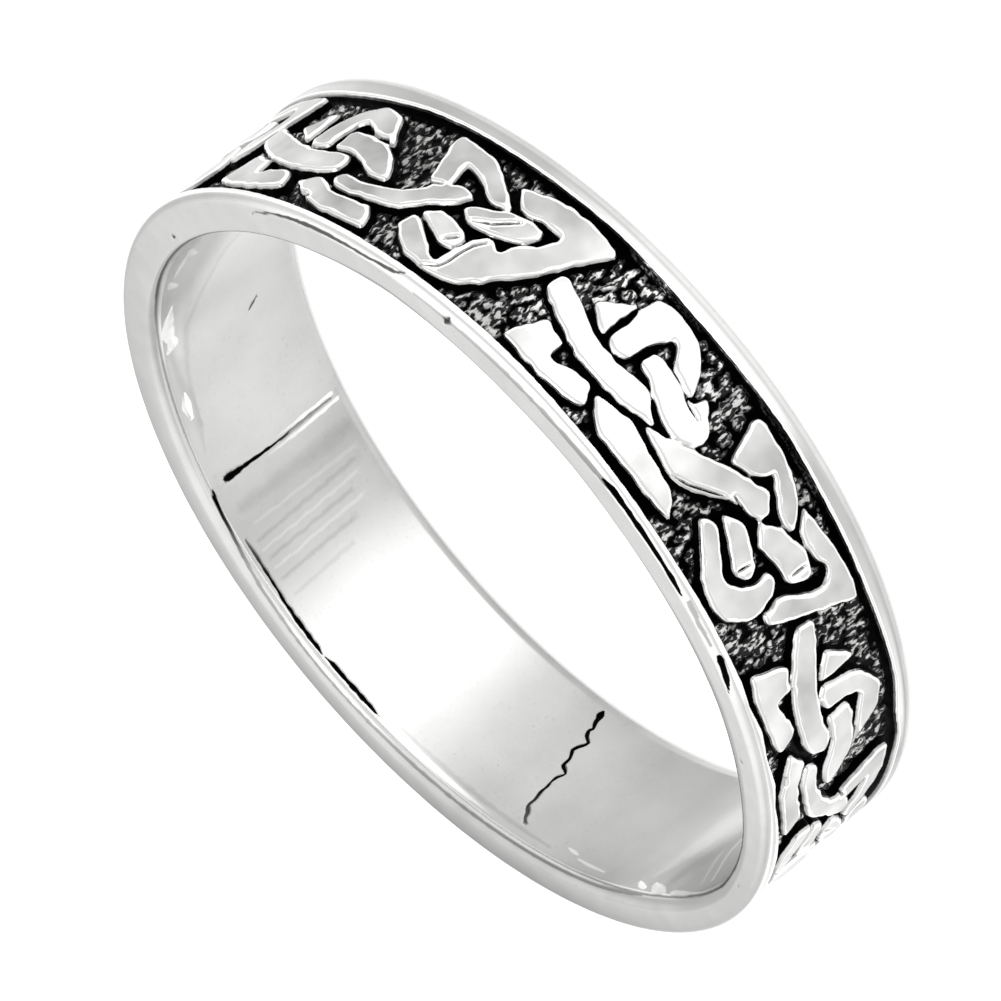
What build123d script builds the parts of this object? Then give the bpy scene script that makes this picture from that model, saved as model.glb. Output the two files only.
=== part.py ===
from build123d import *
import os
from math import cos, radians, sin
from typing import NamedTuple

# A cast silver band ring. It lies on its far face at z = 0, with the finger hole along +Z.
# Lengths are millimetres and angles are degrees about the finger axis, counted from +X.

# Band
BORE_RADIUS = 9.92
WALL = 1.18
BAND_WIDTH = 5.0
EDGE_ROUND = 0.25
BORE_ROUND = 0.33

# Recessed panel between the two plain rails
FAR_RAIL_WIDTH = 0.62
NEAR_RAIL_WIDTH = 0.30
PANEL_DEPTH = 0.35

# Raised knotwork
STRAP_HEIGHT = 0.32
FRONT_START = -182.1
FRONT_PITCH = 53.8
FRONT_REPEATS = 4
BACK_REPEATS = 3

# Worked out from the sizes above
OUTER_RADIUS = BORE_RADIUS + WALL
FLOOR_RADIUS = OUTER_RADIUS - PANEL_DEPTH
STRAP_RADIUS = FLOOR_RADIUS + STRAP_HEIGHT
ROOT_RADIUS = (BORE_RADIUS + FLOOR_RADIUS) / 2
PANEL_BOTTOM = FAR_RAIL_WIDTH
PANEL_TOP = BAND_WIDTH - NEAR_RAIL_WIDTH
FULL_TURN = 360.0
BACK_PITCH = (FULL_TURN - FRONT_REPEATS * FRONT_PITCH) / BACK_REPEATS


class Strap(NamedTuple):
    """One raised piece of the knot, as the corners of its top.

    Each corner is (along, across): hundredths of one repeat round the band, and
    hundredths of the panel from the far rail to the near rail.
    """

    name: str
    corners: tuple


# Straps that are alike in every repeat
COMMON_STRAPS = (
    Strap("tee", (
        (78.8, 89.5), (82, 92.3), (88, 95.5), (95, 96), (103.3, 92.3), (99, 65), (95.5, 69.5),
        (92.6, 69.5), (92.6, 80.8), (90.3, 82), (88.5, 78.5), (82, 74.6), (80, 79))),
    Strap("wedge", ((88.4, 48.5), (95.3, 38.5), (88.7, 19.5))),
)

# The knot with a gap between its tall leg and its hook
OPEN_KNOT = (
    Strap("leg", (
        (1.2, 5.5), (5.5, 33), (9, 56), (11.5, 67.5), (13.8, 67.5), (15, 53), (14.6, 49),
        (12, 40), (10.3, 33), (9.8, 22), (12.5, 14.5), (17, 20.5), (24.2, 22.3), (28.6, 12.3),
        (14, 5.2), (7, 3.5))),
    Strap("hook", (
        (14.6, 75), (19.5, 92), (22.5, 95.5), (29.5, 95), (42.8, 72), (42, 68.5), (39.3, 64.5),
        (28, 80), (24, 74), (21.5, 63), (22.4, 51), (19.5, 49), (17, 54))),
    Strap("tongue", ((23.2, 63.5), (24.5, 69.5), (28, 71), (39.8, 58.5), (35, 48.8), (24.8, 59))),
    Strap("bead", (
        (13.9, 28), (14.5, 37), (16.2, 43.5), (24.5, 46), (27.5, 50.3), (32.6, 42), (31, 36.8),
        (28.5, 31.5), (24, 27.5), (19, 24))),
    Strap("vee", (
        (25.5, 25), (27, 28), (30.3, 29), (39.8, 17), (40.4, 27), (47.8, 36.3), (52.2, 8.5),
        (51.5, 5), (40, 6), (31, 12))),
    Strap("riser", (
        (32.2, 34.5), (33.8, 42.5), (38, 45.8), (41.5, 48.5), (46, 61.5), (51, 70.5), (54, 72.3),
        (62, 69), (67.3, 66.3), (61, 59.5), (56, 52.5), (49, 41), (41, 31.5), (37.2, 25.7))),
    Strap("bar", (
        (46.8, 89.5), (49, 91.5), (73.3, 92.6), (79.2, 76.8), (76, 74.5), (71.5, 72), (69, 69.5),
        (65, 72.5), (58, 75.8), (51.3, 76.7))),
    Strap("arch", (
        (65.2, 61), (69, 64), (73, 67.8), (80, 69.8), (86.5, 70), (92, 66.5), (100, 58.8),
        (105.8, 51.5), (104.3, 38), (96, 45), (88, 53.5), (82, 54.3), (76, 51.3), (73.5, 49.5),
        (68.5, 56.5))),
    Strap("stub", (
        (55, 45), (57, 52), (60, 56), (63, 57), (69, 51.5), (73, 45.8), (78, 43.8), (77.8, 31),
        (72, 31), (66.5, 35.5), (63.3, 35), (62.2, 24.5), (55.5, 38.5))),
    Strap("jay", (
        (64.6, 32.5), (67, 20), (71, 10), (75, 5), (83.5, 4.2), (87, 9.5), (86.5, 30), (87, 47.5),
        (84.5, 51), (80.5, 48.5), (80.2, 32), (77.3, 17.5), (75.3, 18.5), (72.5, 28.0), (68, 31.5))),
)

# The knot whose leg runs up to the near rail and carries the hook
CLOSED_KNOT = (
    Strap("leg and hook", (
        (0, 8), (5.8, 34), (8.7, 52), (12, 62), (16, 77), (20, 88), (22, 93.5), (36, 92.5),
        (42, 78), (42, 74), (41.3, 67), (39.5, 66.5), (29, 84), (27.6, 84.5), (26.8, 72),
        (25.4, 58), (24.5, 52), (21.5, 51), (19, 56), (18.2, 52), (17.3, 45), (14.5, 39),
        (11.3, 26), (12, 21.5), (18.5, 21.5), (21.5, 24.5), (24, 25), (28.2, 13.3), (20, 4.5),
        (12, 3), (1.5, 5))),
    Strap("tongue", ((26.8, 64), (28, 71.5), (31, 73), (40.4, 62.5), (36.7, 53.3), (28, 59))),
    Strap("bead", (
        (14.8, 31), (16, 27.5), (19, 26.8), (23.5, 28.5), (33.2, 42.5), (33.5, 46), (31, 51),
        (28, 51.5), (20, 46), (16, 38))),
    Strap("vee and riser", (
        (25.2, 28.5), (30.8, 34.5), (35.5, 24), (43, 19.5), (41.2, 37.5), (37.8, 32), (33.5, 36.5),
        (36, 45), (42, 57), (45, 66.5), (50, 71.5), (60, 75.5), (64, 75), (67.6, 70.5),
        (65.3, 62), (62, 65), (57, 64), (50, 58), (45, 48), (44.5, 43), (46.7, 41), (50, 17),
        (51, 11), (50, 4.5), (38.5, 6), (29, 20.5))),
    Strap("bar", (
        (48.2, 93), (50, 94.5), (66, 95.5), (75.8, 81.5), (72.5, 77), (70.3, 71.7), (66, 78),
        (61, 79.5), (50.5, 77.5))),
    Strap("arch", (
        (68.5, 57), (69.8, 65.5), (76, 71), (85, 71.5), (92, 68.5), (100, 60), (105.8, 51.5),
        (104.4, 38), (97, 44), (90, 51), (83, 53.8), (77, 53), (73.5, 50.5), (70, 51.5))),
    Strap("stub", (
        (54.8, 54.5), (57, 58), (61, 57.5), (66, 51), (71, 47), (77, 49), (77.2, 33), (74, 31),
        (64, 33.5), (60, 38.5))),
    Strap("jay", (
        (62, 33.5), (65.5, 24), (68, 13), (71, 9), (75, 6.5), (79.5, 12), (84.5, 24), (86.5, 47),
        (84.5, 51), (80, 50), (79.5, 36), (78, 25), (76, 22.5), (71, 28), (65, 29))),
)


def repeats():
    """Yields the start angle, the pitch and the straps of each repeat round the band."""
    start = FRONT_START
    for index in range(FRONT_REPEATS + BACK_REPEATS):
        pitch = FRONT_PITCH if index < FRONT_REPEATS else BACK_PITCH
        knot = CLOSED_KNOT if index % 2 == 0 else OPEN_KNOT
        yield start, pitch, COMMON_STRAPS + knot
        start += pitch


def strap_outline(strap, start, pitch):
    """Gives a strap's middle angle, and its corners on the plane that faces that angle."""
    angles = [start + along / 100 * pitch for along, _ in strap.corners]
    heights = [PANEL_BOTTOM + across / 100 * (PANEL_TOP - PANEL_BOTTOM) for _, across in strap.corners]
    middle = (min(angles) + max(angles)) / 2
    points = [
        (STRAP_RADIUS * sin(radians(angle - middle)), height)
        for angle, height in zip(angles, heights)
    ]
    return middle, points


def facing_plane(angle, radius):
    """Gives the upright plane that touches a cylinder of that radius at that angle."""
    outward = Vector(cos(radians(angle)), sin(radians(angle)), 0)
    sideways = Vector(-sin(radians(angle)), cos(radians(angle)), 0)
    return Plane(origin=outward * radius, x_dir=sideways, z_dir=outward)


# Raised straps, rooted in the middle of the wall under the panel and trimmed to their top radius
with BuildPart() as knotwork:
    for start, pitch, straps in repeats():
        for strap in straps:
            middle, points = strap_outline(strap, start, pitch)
            with BuildSketch(facing_plane(middle, ROOT_RADIUS)):
                with BuildLine():
                    Polyline(*points, close=True)
                make_face()
    extrude(amount=WALL)
    Cylinder(
        STRAP_RADIUS,
        BAND_WIDTH,
        align=(Align.CENTER, Align.CENTER, Align.MIN),
        mode=Mode.INTERSECT,
    )

# The whole ring: band with rails and panel, and the straps standing on it
with BuildPart() as ring_band:
    with BuildSketch(Plane.XZ):
        with BuildLine():
            Polyline(
                (BORE_RADIUS, 0),
                (OUTER_RADIUS, 0),
                (OUTER_RADIUS, PANEL_BOTTOM),
                (FLOOR_RADIUS, PANEL_BOTTOM),
                (FLOOR_RADIUS, PANEL_TOP),
                (OUTER_RADIUS, PANEL_TOP),
                (OUTER_RADIUS, BAND_WIDTH),
                (BORE_RADIUS, BAND_WIDTH),
                close=True,
            )
        make_face()
        outer_corners = vertices().group_by(Axis.X)[-1].sort_by(Axis.Y)
        fillet([outer_corners[0], outer_corners[-1]], EDGE_ROUND)
        fillet(vertices().group_by(Axis.X)[0], BORE_ROUND)
    revolve(axis=Axis.Z)
    add(knotwork.part)

ring_band.part.label = "ring_band"
os.makedirs("parts", exist_ok=True)
export_step(ring_band.part, "parts/ring_band.step")
print("solids", len(ring_band.part.solids()), "volume", round(ring_band.part.volume, 2))
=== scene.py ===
import logging
import math
from dataclasses import dataclass, field
from enum import Enum
from typing import NamedTuple

import bmesh
import bpy
import numpy as np
from mathutils import Matrix, Vector, noise
from mathutils.geometry import delaunay_2d_cdt


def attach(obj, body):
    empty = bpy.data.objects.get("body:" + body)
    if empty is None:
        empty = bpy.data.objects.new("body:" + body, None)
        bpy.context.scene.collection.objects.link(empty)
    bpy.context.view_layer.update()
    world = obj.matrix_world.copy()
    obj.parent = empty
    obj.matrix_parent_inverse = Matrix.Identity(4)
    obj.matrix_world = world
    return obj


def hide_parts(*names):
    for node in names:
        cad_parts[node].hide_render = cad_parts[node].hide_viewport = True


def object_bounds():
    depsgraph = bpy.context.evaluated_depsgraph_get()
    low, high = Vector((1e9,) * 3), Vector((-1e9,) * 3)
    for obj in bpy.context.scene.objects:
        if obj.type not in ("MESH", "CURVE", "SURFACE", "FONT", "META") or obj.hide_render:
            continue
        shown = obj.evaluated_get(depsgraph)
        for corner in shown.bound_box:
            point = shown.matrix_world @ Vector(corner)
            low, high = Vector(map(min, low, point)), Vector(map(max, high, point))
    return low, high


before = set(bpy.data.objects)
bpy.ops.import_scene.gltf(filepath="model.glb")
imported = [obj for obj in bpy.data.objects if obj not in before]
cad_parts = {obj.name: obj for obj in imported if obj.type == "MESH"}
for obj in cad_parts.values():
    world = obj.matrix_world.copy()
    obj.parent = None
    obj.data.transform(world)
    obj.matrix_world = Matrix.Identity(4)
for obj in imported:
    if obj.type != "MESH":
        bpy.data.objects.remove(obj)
CAD_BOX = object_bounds()

MM = 0.001
FULL_TURN = 2 * math.pi
log = logging.getLogger("knot_ring")


# Node types and settings that are used more than once
MATH = "ShaderNodeMath"
RANGE = "ShaderNodeMapRange"
NOISE = "ShaderNodeTexNoise"
MIX = "ShaderNodeMix"
ADD_SHARE = {"operation": "MULTIPLY_ADD"}
SMOOTH = {"interpolation_type": "SMOOTHSTEP"}


# Colours and nodes
class Tint(Enum):
    """Colours of the finishes, as sRGB hex values."""

    # Shaded and lit copies of the silver, mixed by painted light and shade and by the burnished rims
    SILVER_SHADED = "#8A8A89"
    SILVER_LIT = "#F4F4F3"
    OXIDE = "#030303"
    STUDIO_WHITE = "#FFFFFF"
    PAPER = "#DCDCDC"


def linear(tint: Tint) -> tuple[float, float, float, float]:
    """Turns an sRGB hex colour into linear red, green, blue and full alpha.

    Args:
        tint: The colour to turn.

    Returns:
        Four numbers for a colour socket.
    """
    text = tint.value.lstrip("#")
    channels = [int(text[i:i + 2], 16) / 255 for i in (0, 2, 4)]
    return (*[c / 12.92 if c <= 0.04045 else ((c + 0.055) / 1.055) ** 2.4 for c in channels], 1.0)


def add_node(
    tree: bpy.types.NodeTree,
    kind: str,
    settings: dict[str, object] | None = None,
    values: dict[str, object] | None = None,
    links: dict[str, object] | None = None,
) -> bpy.types.Node:
    """Adds one node with its settings, its socket values and the links into it.

    Args:
        tree: The node tree that gets the node.
        kind: The node's type name.
        settings: Attributes of the node, by name.
        values: Values of its input sockets, by name or index.
        links: What feeds its inputs, by name or index: a socket, or a node for its first output.

    Returns:
        The new node.
    """
    node = tree.nodes.new(kind)
    for name, value in (settings or {}).items():
        setattr(node, name, value)
    for name, value in (values or {}).items():
        node.inputs[name].default_value = value
    for name, source in (links or {}).items():
        socket = source.outputs[0] if isinstance(source, bpy.types.Node) else source
        tree.links.new(socket, node.inputs[name])
    return node


def in_scene(name: str, data: bpy.types.ID) -> bpy.types.Object:
    """Puts a mesh, a light or a camera into the scene.

    Args:
        name: Name of the object.
        data: What it shows.

    Returns:
        The new object.
    """
    made = bpy.data.objects.new(name, data)
    bpy.context.scene.collection.objects.link(made)
    return made


def empty_tree(owner: bpy.types.ID) -> bpy.types.NodeTree:
    """Gives a material or a world its own node tree, with nothing in it.

    Args:
        owner: The material or world.

    Returns:
        Its node tree.
    """
    owner.use_nodes = True
    owner.node_tree.nodes.clear()
    return owner.node_tree


# Reading tables and lines
def table(kind: type, *rows: tuple) -> tuple:
    """Gives plain rows the column names of their kind."""
    return tuple(kind(*row) for row in rows)


def read_round(rows: tuple, column: str, angle: np.ndarray) -> np.ndarray:
    """Reads a table that goes round the band.

    Args:
        rows: Rows in order of their angle, in degrees.
        column: Name of the column to read.
        angle: Angles about the finger axis, in radians.

    Returns:
        The column's value at each angle, even between two rows.
    """
    values = [getattr(row, column) for row in rows]
    return np.interp(np.degrees(angle), [row.angle for row in rows], values, period=360)


def share_of(value: np.ndarray, start: float, length: float) -> np.ndarray:
    """Rises evenly from 0 at the start to 1 a length further on, or back for a length below 0."""
    return np.clip((value - start) / length, 0, 1)


def arc_lengths(points: np.ndarray) -> np.ndarray:
    """Gives the length along a line at each of its points."""
    return np.concatenate([[0], np.cumsum(np.hypot(*np.diff(points, axis=0).T))])


def crosswise(route: np.ndarray) -> np.ndarray:
    """Gives the direction across a route at each of its steps."""
    heading = np.gradient(route[:, :2], axis=0)
    return np.column_stack([-heading[:, 1], heading[:, 0]]) / np.hypot(*heading.T)[:, None]


def on_band(radius: np.ndarray | float, angle: np.ndarray, height: np.ndarray) -> np.ndarray:
    """Gives the place of points from their radius, angle and height."""
    return np.column_stack([radius * np.cos(angle), radius * np.sin(angle), height])


def plateau(value: np.ndarray, *corners: float) -> np.ndarray:
    """Rises from 0 to 1 between the first two of four corners and falls back between the others."""
    return np.interp(value, corners, (0, 1, 1, 0))


def staggered(columns: int, rows: int, length: float, low: float, rise: float) -> np.ndarray:
    """Lays points out in rows that are shifted by half a pitch in turn.

    Args:
        columns: Number of points in a row.
        rows: Number of rows.
        length: Length of a row.
        low: Where the rows begin.
        rise: Spacing of the rows.

    Returns:
        Rows of (along, across).
    """
    return np.array([
        ((i + 0.5 * (j % 2) + 0.25) * length / columns, low + (j + 0.5) * rise)
        for j in range(rows) for i in range(columns)
    ])


def off_seam(points: np.ndarray, length: float, margin: float) -> np.ndarray:
    """Leaves out the points that lie close to the two short edges of a sheet."""
    return points[(points[:, 0] > margin) & (points[:, 0] < length - margin)]


def to_segment(x: np.ndarray, y: np.ndarray, start: tuple, end: tuple) -> tuple[np.ndarray, np.ndarray]:
    """Measures points against a straight piece of line.

    Args:
        x: The points' first coordinates.
        y: The points' second coordinates.
        start: First end of the piece.
        end: Its other end.

    Returns:
        How far along the piece the nearest place lies, from 0 to 1, and the distance to it.
    """
    dx, dy = end[0] - start[0], end[1] - start[1]
    part = np.clip(((x - start[0]) * dx + (y - start[1]) * dy) / max(dx * dx + dy * dy, 1e-12), 0, 1)
    return part, np.hypot(x - start[0] - part * dx, y - start[1] - part * dy)


# Sizes of the band, in millimetres
@dataclass(frozen=True)
class BandSizes:
    """Sizes of the cast band. Its outer radius and width come from the CAD box."""

    rail_radius: float = (CAD_BOX[1][0] - CAD_BOX[0][0]) / 2 / MM - 0.002
    width: float = (CAD_BOX[1][2] - CAD_BOX[0][2]) / MM
    bore_radius: float = 9.92
    strap_radius: float = 11.07
    floor_radius: float = 10.75
    panel_low: float = 0.54
    near_rail: float = 0.35
    knot_low: float = 0.62
    knot_high: float = 4.70
    edge_round: float = 0.25
    bore_round: float = 0.33
    columns: int = 600

    @property
    def panel_high(self) -> float:
        """Height where the panel ends and the near rail begins."""
        return self.width - self.near_rail

    @property
    def flat_start(self) -> float:
        """Length along the near side's surface from the rail's edge to the flat face."""
        return self.edge_round * math.pi / 2

    @property
    def flat_end(self) -> float:
        """Length along that surface to the end of the flat face."""
        return self.bore_run - self.bore_round * math.pi / 2

    @property
    def bore_run(self) -> float:
        """Length along the near side's surface from the rail's edge to the bore."""
        flat = self.rail_radius - self.edge_round - self.bore_radius - self.bore_round
        return (self.edge_round + self.bore_round) * math.pi / 2 + flat

    def run_of_height(self, height: np.ndarray) -> np.ndarray:
        """Gives the run along the surface, from the near rail to a height in the bore."""
        return self.bore_run + self.width - self.bore_round - height


class KnotForm(Enum):
    """The two forms of the knot that take turns round the band."""

    CLOSED = "closed"
    OPEN = "open"


@dataclass(frozen=True)
class Repeat:
    """One repeat of the knot: where it starts and how long it is, in degrees."""

    start: float
    pitch: float
    form: KnotForm


@dataclass(frozen=True)
class KnotLayout:
    """How the repeats follow each other round the band, in degrees."""

    front_start: float = -182.1
    front_pitch: float = 53.8
    front_repeats: int = 4
    back_repeats: int = 3

    def repeats(self) -> list[Repeat]:
        """Lists the repeats round the band.

        Returns:
            The front repeats and then the back ones, in order of angle.
        """
        back_pitch = (360 - self.front_repeats * self.front_pitch) / self.back_repeats
        found = []
        start = self.front_start
        for index in range(self.front_repeats + self.back_repeats):
            pitch = self.front_pitch if index < self.front_repeats else back_pitch
            form = KnotForm.CLOSED if index % 2 == 0 else KnotForm.OPEN
            found.append(Repeat(start, pitch, form))
            start += pitch
        return found


class Crease(NamedTuple):
    """A crease or nick in the top of a strap.

    Each point is (along, across), in hundredths of one repeat and of the panel. The
    half width is in millimetres.
    """

    name: str
    points: tuple
    half_width: float = 0.034


CREASES = {
    KnotForm.CLOSED: (
        Crease("leg to hook", ((29, 91), (26, 86), (25.3, 80), (25, 70), (24.3, 62), (22.5, 55))),
        Crease("bead", ((29.5, 49), (25.5, 43), (21, 31.5)), 0.036),
        Crease("tongue", ((30.5, 69.5), (28.5, 63))),
        Crease("vee", ((43, 40), (46, 43)), 0.036),
        Crease("bar", ((68, 89), (70, 88)), 0.03),
    ),
    KnotForm.OPEN: (
        Crease("bead pit", ((17.2, 29.5), (17.3, 39)), 0.036),
        Crease("tongue notch", ((26.5, 61), (27, 69))),
        Crease("riser", ((43, 52), (46, 58), (50, 66), (54, 71))),
        Crease("riser dash", ((35.5, 45.5), (41.5, 46.5))),
        Crease("stub crack", ((60, 38), (63.5, 37), (66.5, 34.5)), 0.038),
        Crease("jay crack", ((69, 32), (73, 30.5)), 0.036),
    ),
}


class Zone(Enum):
    """The parts of the ring, each with its own table of painted light and shade."""

    STRAPS = "straps"
    NEAR_RAIL = "near rail"
    NEAR_EDGE = "rounded outer edge on the near side"
    FAR_RAIL = "far rail"
    FAR_EDGE = "rounded outer edge on the far side"
    SIDE_OUTER = "side face beside the outer edge"
    SIDE_INNER = "side face beside the bore"
    BORE = "bore"
    FAR_BORE_EDGE = "rounded edge of the bore on the far side"


class PaintedLight(NamedTuple):
    """Painted light and shade at one angle, from 0 for the shaded silver to 1 for the lit one."""

    angle: float
    level: float


# Painted light and shade: how lit or shaded the silver's colour is painted round each zone
PAINTED_LIGHT = {
    Zone.STRAPS: table(
        PaintedLight, (-172, 0.14), (-160, 0.39), (-150, 0.44), (-135, 0.48), (-120, 0.42), (-110, 0.36), (-100, 0.45),
        (-92, 1.0), (-78, 1.0), (-70, 0.48), (-60, 0.36), (-50, 0.3), (-40, 0.22), (-30, 0.27), (60, 0.35),
        (140, 0.35)),
    Zone.NEAR_RAIL: table(
        PaintedLight, (-165, 0.35), (-129, 0.4), (-125, 1.0), (-60, 1.0), (-56, 0.8), (-30, 0.55)),
    Zone.NEAR_EDGE: table(
        PaintedLight, (-165, 0.74), (-129, 0.74), (-125, 1.0), (-56, 1.0), (-38, 0.95), (-28, 0.7), (30, 0.5),
        (150, 0.55)),
    Zone.FAR_RAIL: table(
        PaintedLight, (-170, 0.3), (-160, 0.1), (-150, 0.9), (-140, 0.7), (-130, 0.5), (-110, 0.26), (-100, 1.0),
        (-76, 1.0), (-68, 0.7), (-60, 0.32), (-50, 0.36), (-40, 0.22), (-20, 0.4)),
    Zone.FAR_EDGE: table(
        PaintedLight, (-170, 0.3), (-120, 0.5), (-100, 0.7), (-76, 0.7), (-60, 0.5), (0, 0.4)),
    Zone.SIDE_OUTER: table(
        PaintedLight, (-172, 0.64), (-150, 0.8), (-120, 0.88), (-30, 0.84), (0, 0.78), (30, 0.64), (60, 0.46),
        (90, 0.36), (105, 0.3), (120, 0.23), (135, 0.22), (150, 0.37), (165, 0.56)),
    Zone.SIDE_INNER: table(
        PaintedLight, (-172, 0.64), (-150, 0.8), (-120, 0.88), (-30, 0.84), (0, 0.82), (30, 0.74), (60, 0.76),
        (90, 0.68), (105, 0.66), (120, 0.52), (135, 0.52), (150, 0.67), (165, 0.72)),
    Zone.BORE: table(
        PaintedLight, (-155, 1.0), (-30, 1.0), (-16, 0.6), (8, 0.6), (28, 0.46), (56, 0.44), (60, 0.34), (66, 0.27),
        (76, 0.35), (88, 1.0), (102, 1.0), (113, 0.48), (122, 0.34), (150, 0.24), (162, 0.41), (172, 0.38),
        (185, 0.48), (196, 0.42)),
    Zone.FAR_BORE_EDGE: table(
        PaintedLight, (20, 0.6), (40, 0.46), (76, 0.42), (90, 0.32), (104, 0.25), (124, 0.28), (140, 0.45), (155, 0.6)),
}


class Wear(NamedTuple):
    """How much of the black is worn off the far rail's wall at one angle, from 0 to 1."""

    angle: float
    share: float


WALL_WEAR = table(
    Wear, (-114, 0.0), (-111, 0.5), (-101, 0.5), (-98, 0.0), (-89, 0.0), (-86, 0.45), (-77, 0.45), (-74, 0.0))


class EdgeShape(NamedTuple):
    """How the bore's near edge was filed at one angle.

    The spread is the width of its round as a share of the usual width. The flare is how far
    the bore opens toward the edge, in millimetres.
    """

    angle: float
    spread: float
    flare: float


EDGE_SHAPES = table(
    EdgeShape, (-140, 1.3, 0.08), (-130, 1.5, 0.04), (-120, 1.4, 0.0), (-110, 1.0, 0.0), (-100, 0.8, 0.0),
    (-90, 1.0, 0.0), (-80, 0.7, 0.0), (-70, 0.85, 0.0), (-55, 1.2, 0.0), (-42, 0.7, 0.0), (-20, 0.4, 0.0),
    (12, 0.4, 0.0), (40, 0.9, 0.0), (60, 1.0, 0.0), (156, 1.0, 0.0), (165, 1.0, 0.06), (175, 1.0, 0.18),
    (185, 1.0, 0.28), (200, 1.0, 0.24), (210, 1.1, 0.14))
FLARE_DEPTH = 1.7


class RailShift(NamedTuple):
    """How far the rails' inner edges stray at one angle, in millimetres of height."""

    angle: float
    far: float
    near: float


RAIL_SHIFTS = table(
    RailShift, (-160, -0.05, -0.12), (-155, -0.1, -0.09), (-150, 0.0, -0.03), (-147.5, -0.03, 0.02),
    (-143.5, -0.08, -0.08), (-138.5, -0.04, 0.0), (-134, 0.0, -0.07), (-129.5, 0.04, 0.04),
    (-126, 0.05, -0.01), (-112, 0.04, 0.03), (-104, -0.03, 0.04), (-92, 0.02, 0.02), (-84, 0.03, 0.0),
    (-72, -0.06, -0.03), (-60, -0.01, 0.0), (-48, 0.01, 0.02), (-40, 0.05, 0.03), (-34, 0.13, 0.04),
    (-26, 0.2, 0.04), (20, 0.0, 0.0), (170, 0.0, -0.02))


def painted_light_level(zone: Zone, angle: np.ndarray) -> np.ndarray:
    """Gives the painted light and shade round one zone of the ring, for angles in radians."""
    return read_round(PAINTED_LIGHT[zone], "level", angle)


def rail_shift(angle: np.ndarray, height: np.ndarray, band: BandSizes, foot: float) -> np.ndarray:
    """Gives how far points near the rails' inner edges are moved across the band.

    Args:
        angle: Angles about the finger axis, in radians.
        height: Heights on the band.
        band: Sizes of the band.
        foot: Height of the foot of the far rail's wall.

    Returns:
        A change of height for each point.
    """
    low, high = band.edge_round, band.width - band.edge_round
    far_share = plateau(height, low, band.panel_low - 0.05, foot, foot + 0.35)
    near_share = plateau(height, band.panel_high - 0.4, band.panel_high - 0.06, high - 0.045, high)
    far, near = (read_round(RAIL_SHIFTS, column, angle) for column in ("far", "near"))
    return far * far_share + near * near_share


# Marks of making and wear, with painted highlights and painted light and shade
class Mark(NamedTuple):
    """A join, scratch or pit, or a painted glint, gleam or streak of light or shade, along the near side or in
    the bore.

    Each point is (angle, run, half width): degrees about the finger axis, and millimetres.
    The run counts along the surface from the near rail, over the side face and down the bore.
    The strengths at the two ends run evenly from the first point to the last.
    """

    name: str
    points: tuple
    groove: float = 0.0
    dark: float = 0.0
    # A painted highlight, which lightens the colour
    bright: float = 0.0
    # Painted light and shade: above 0 lighter, below 0 darker
    shade: float = 0.0
    waver: float = 0.0
    ends: tuple = (1.0, 1.0)


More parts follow.
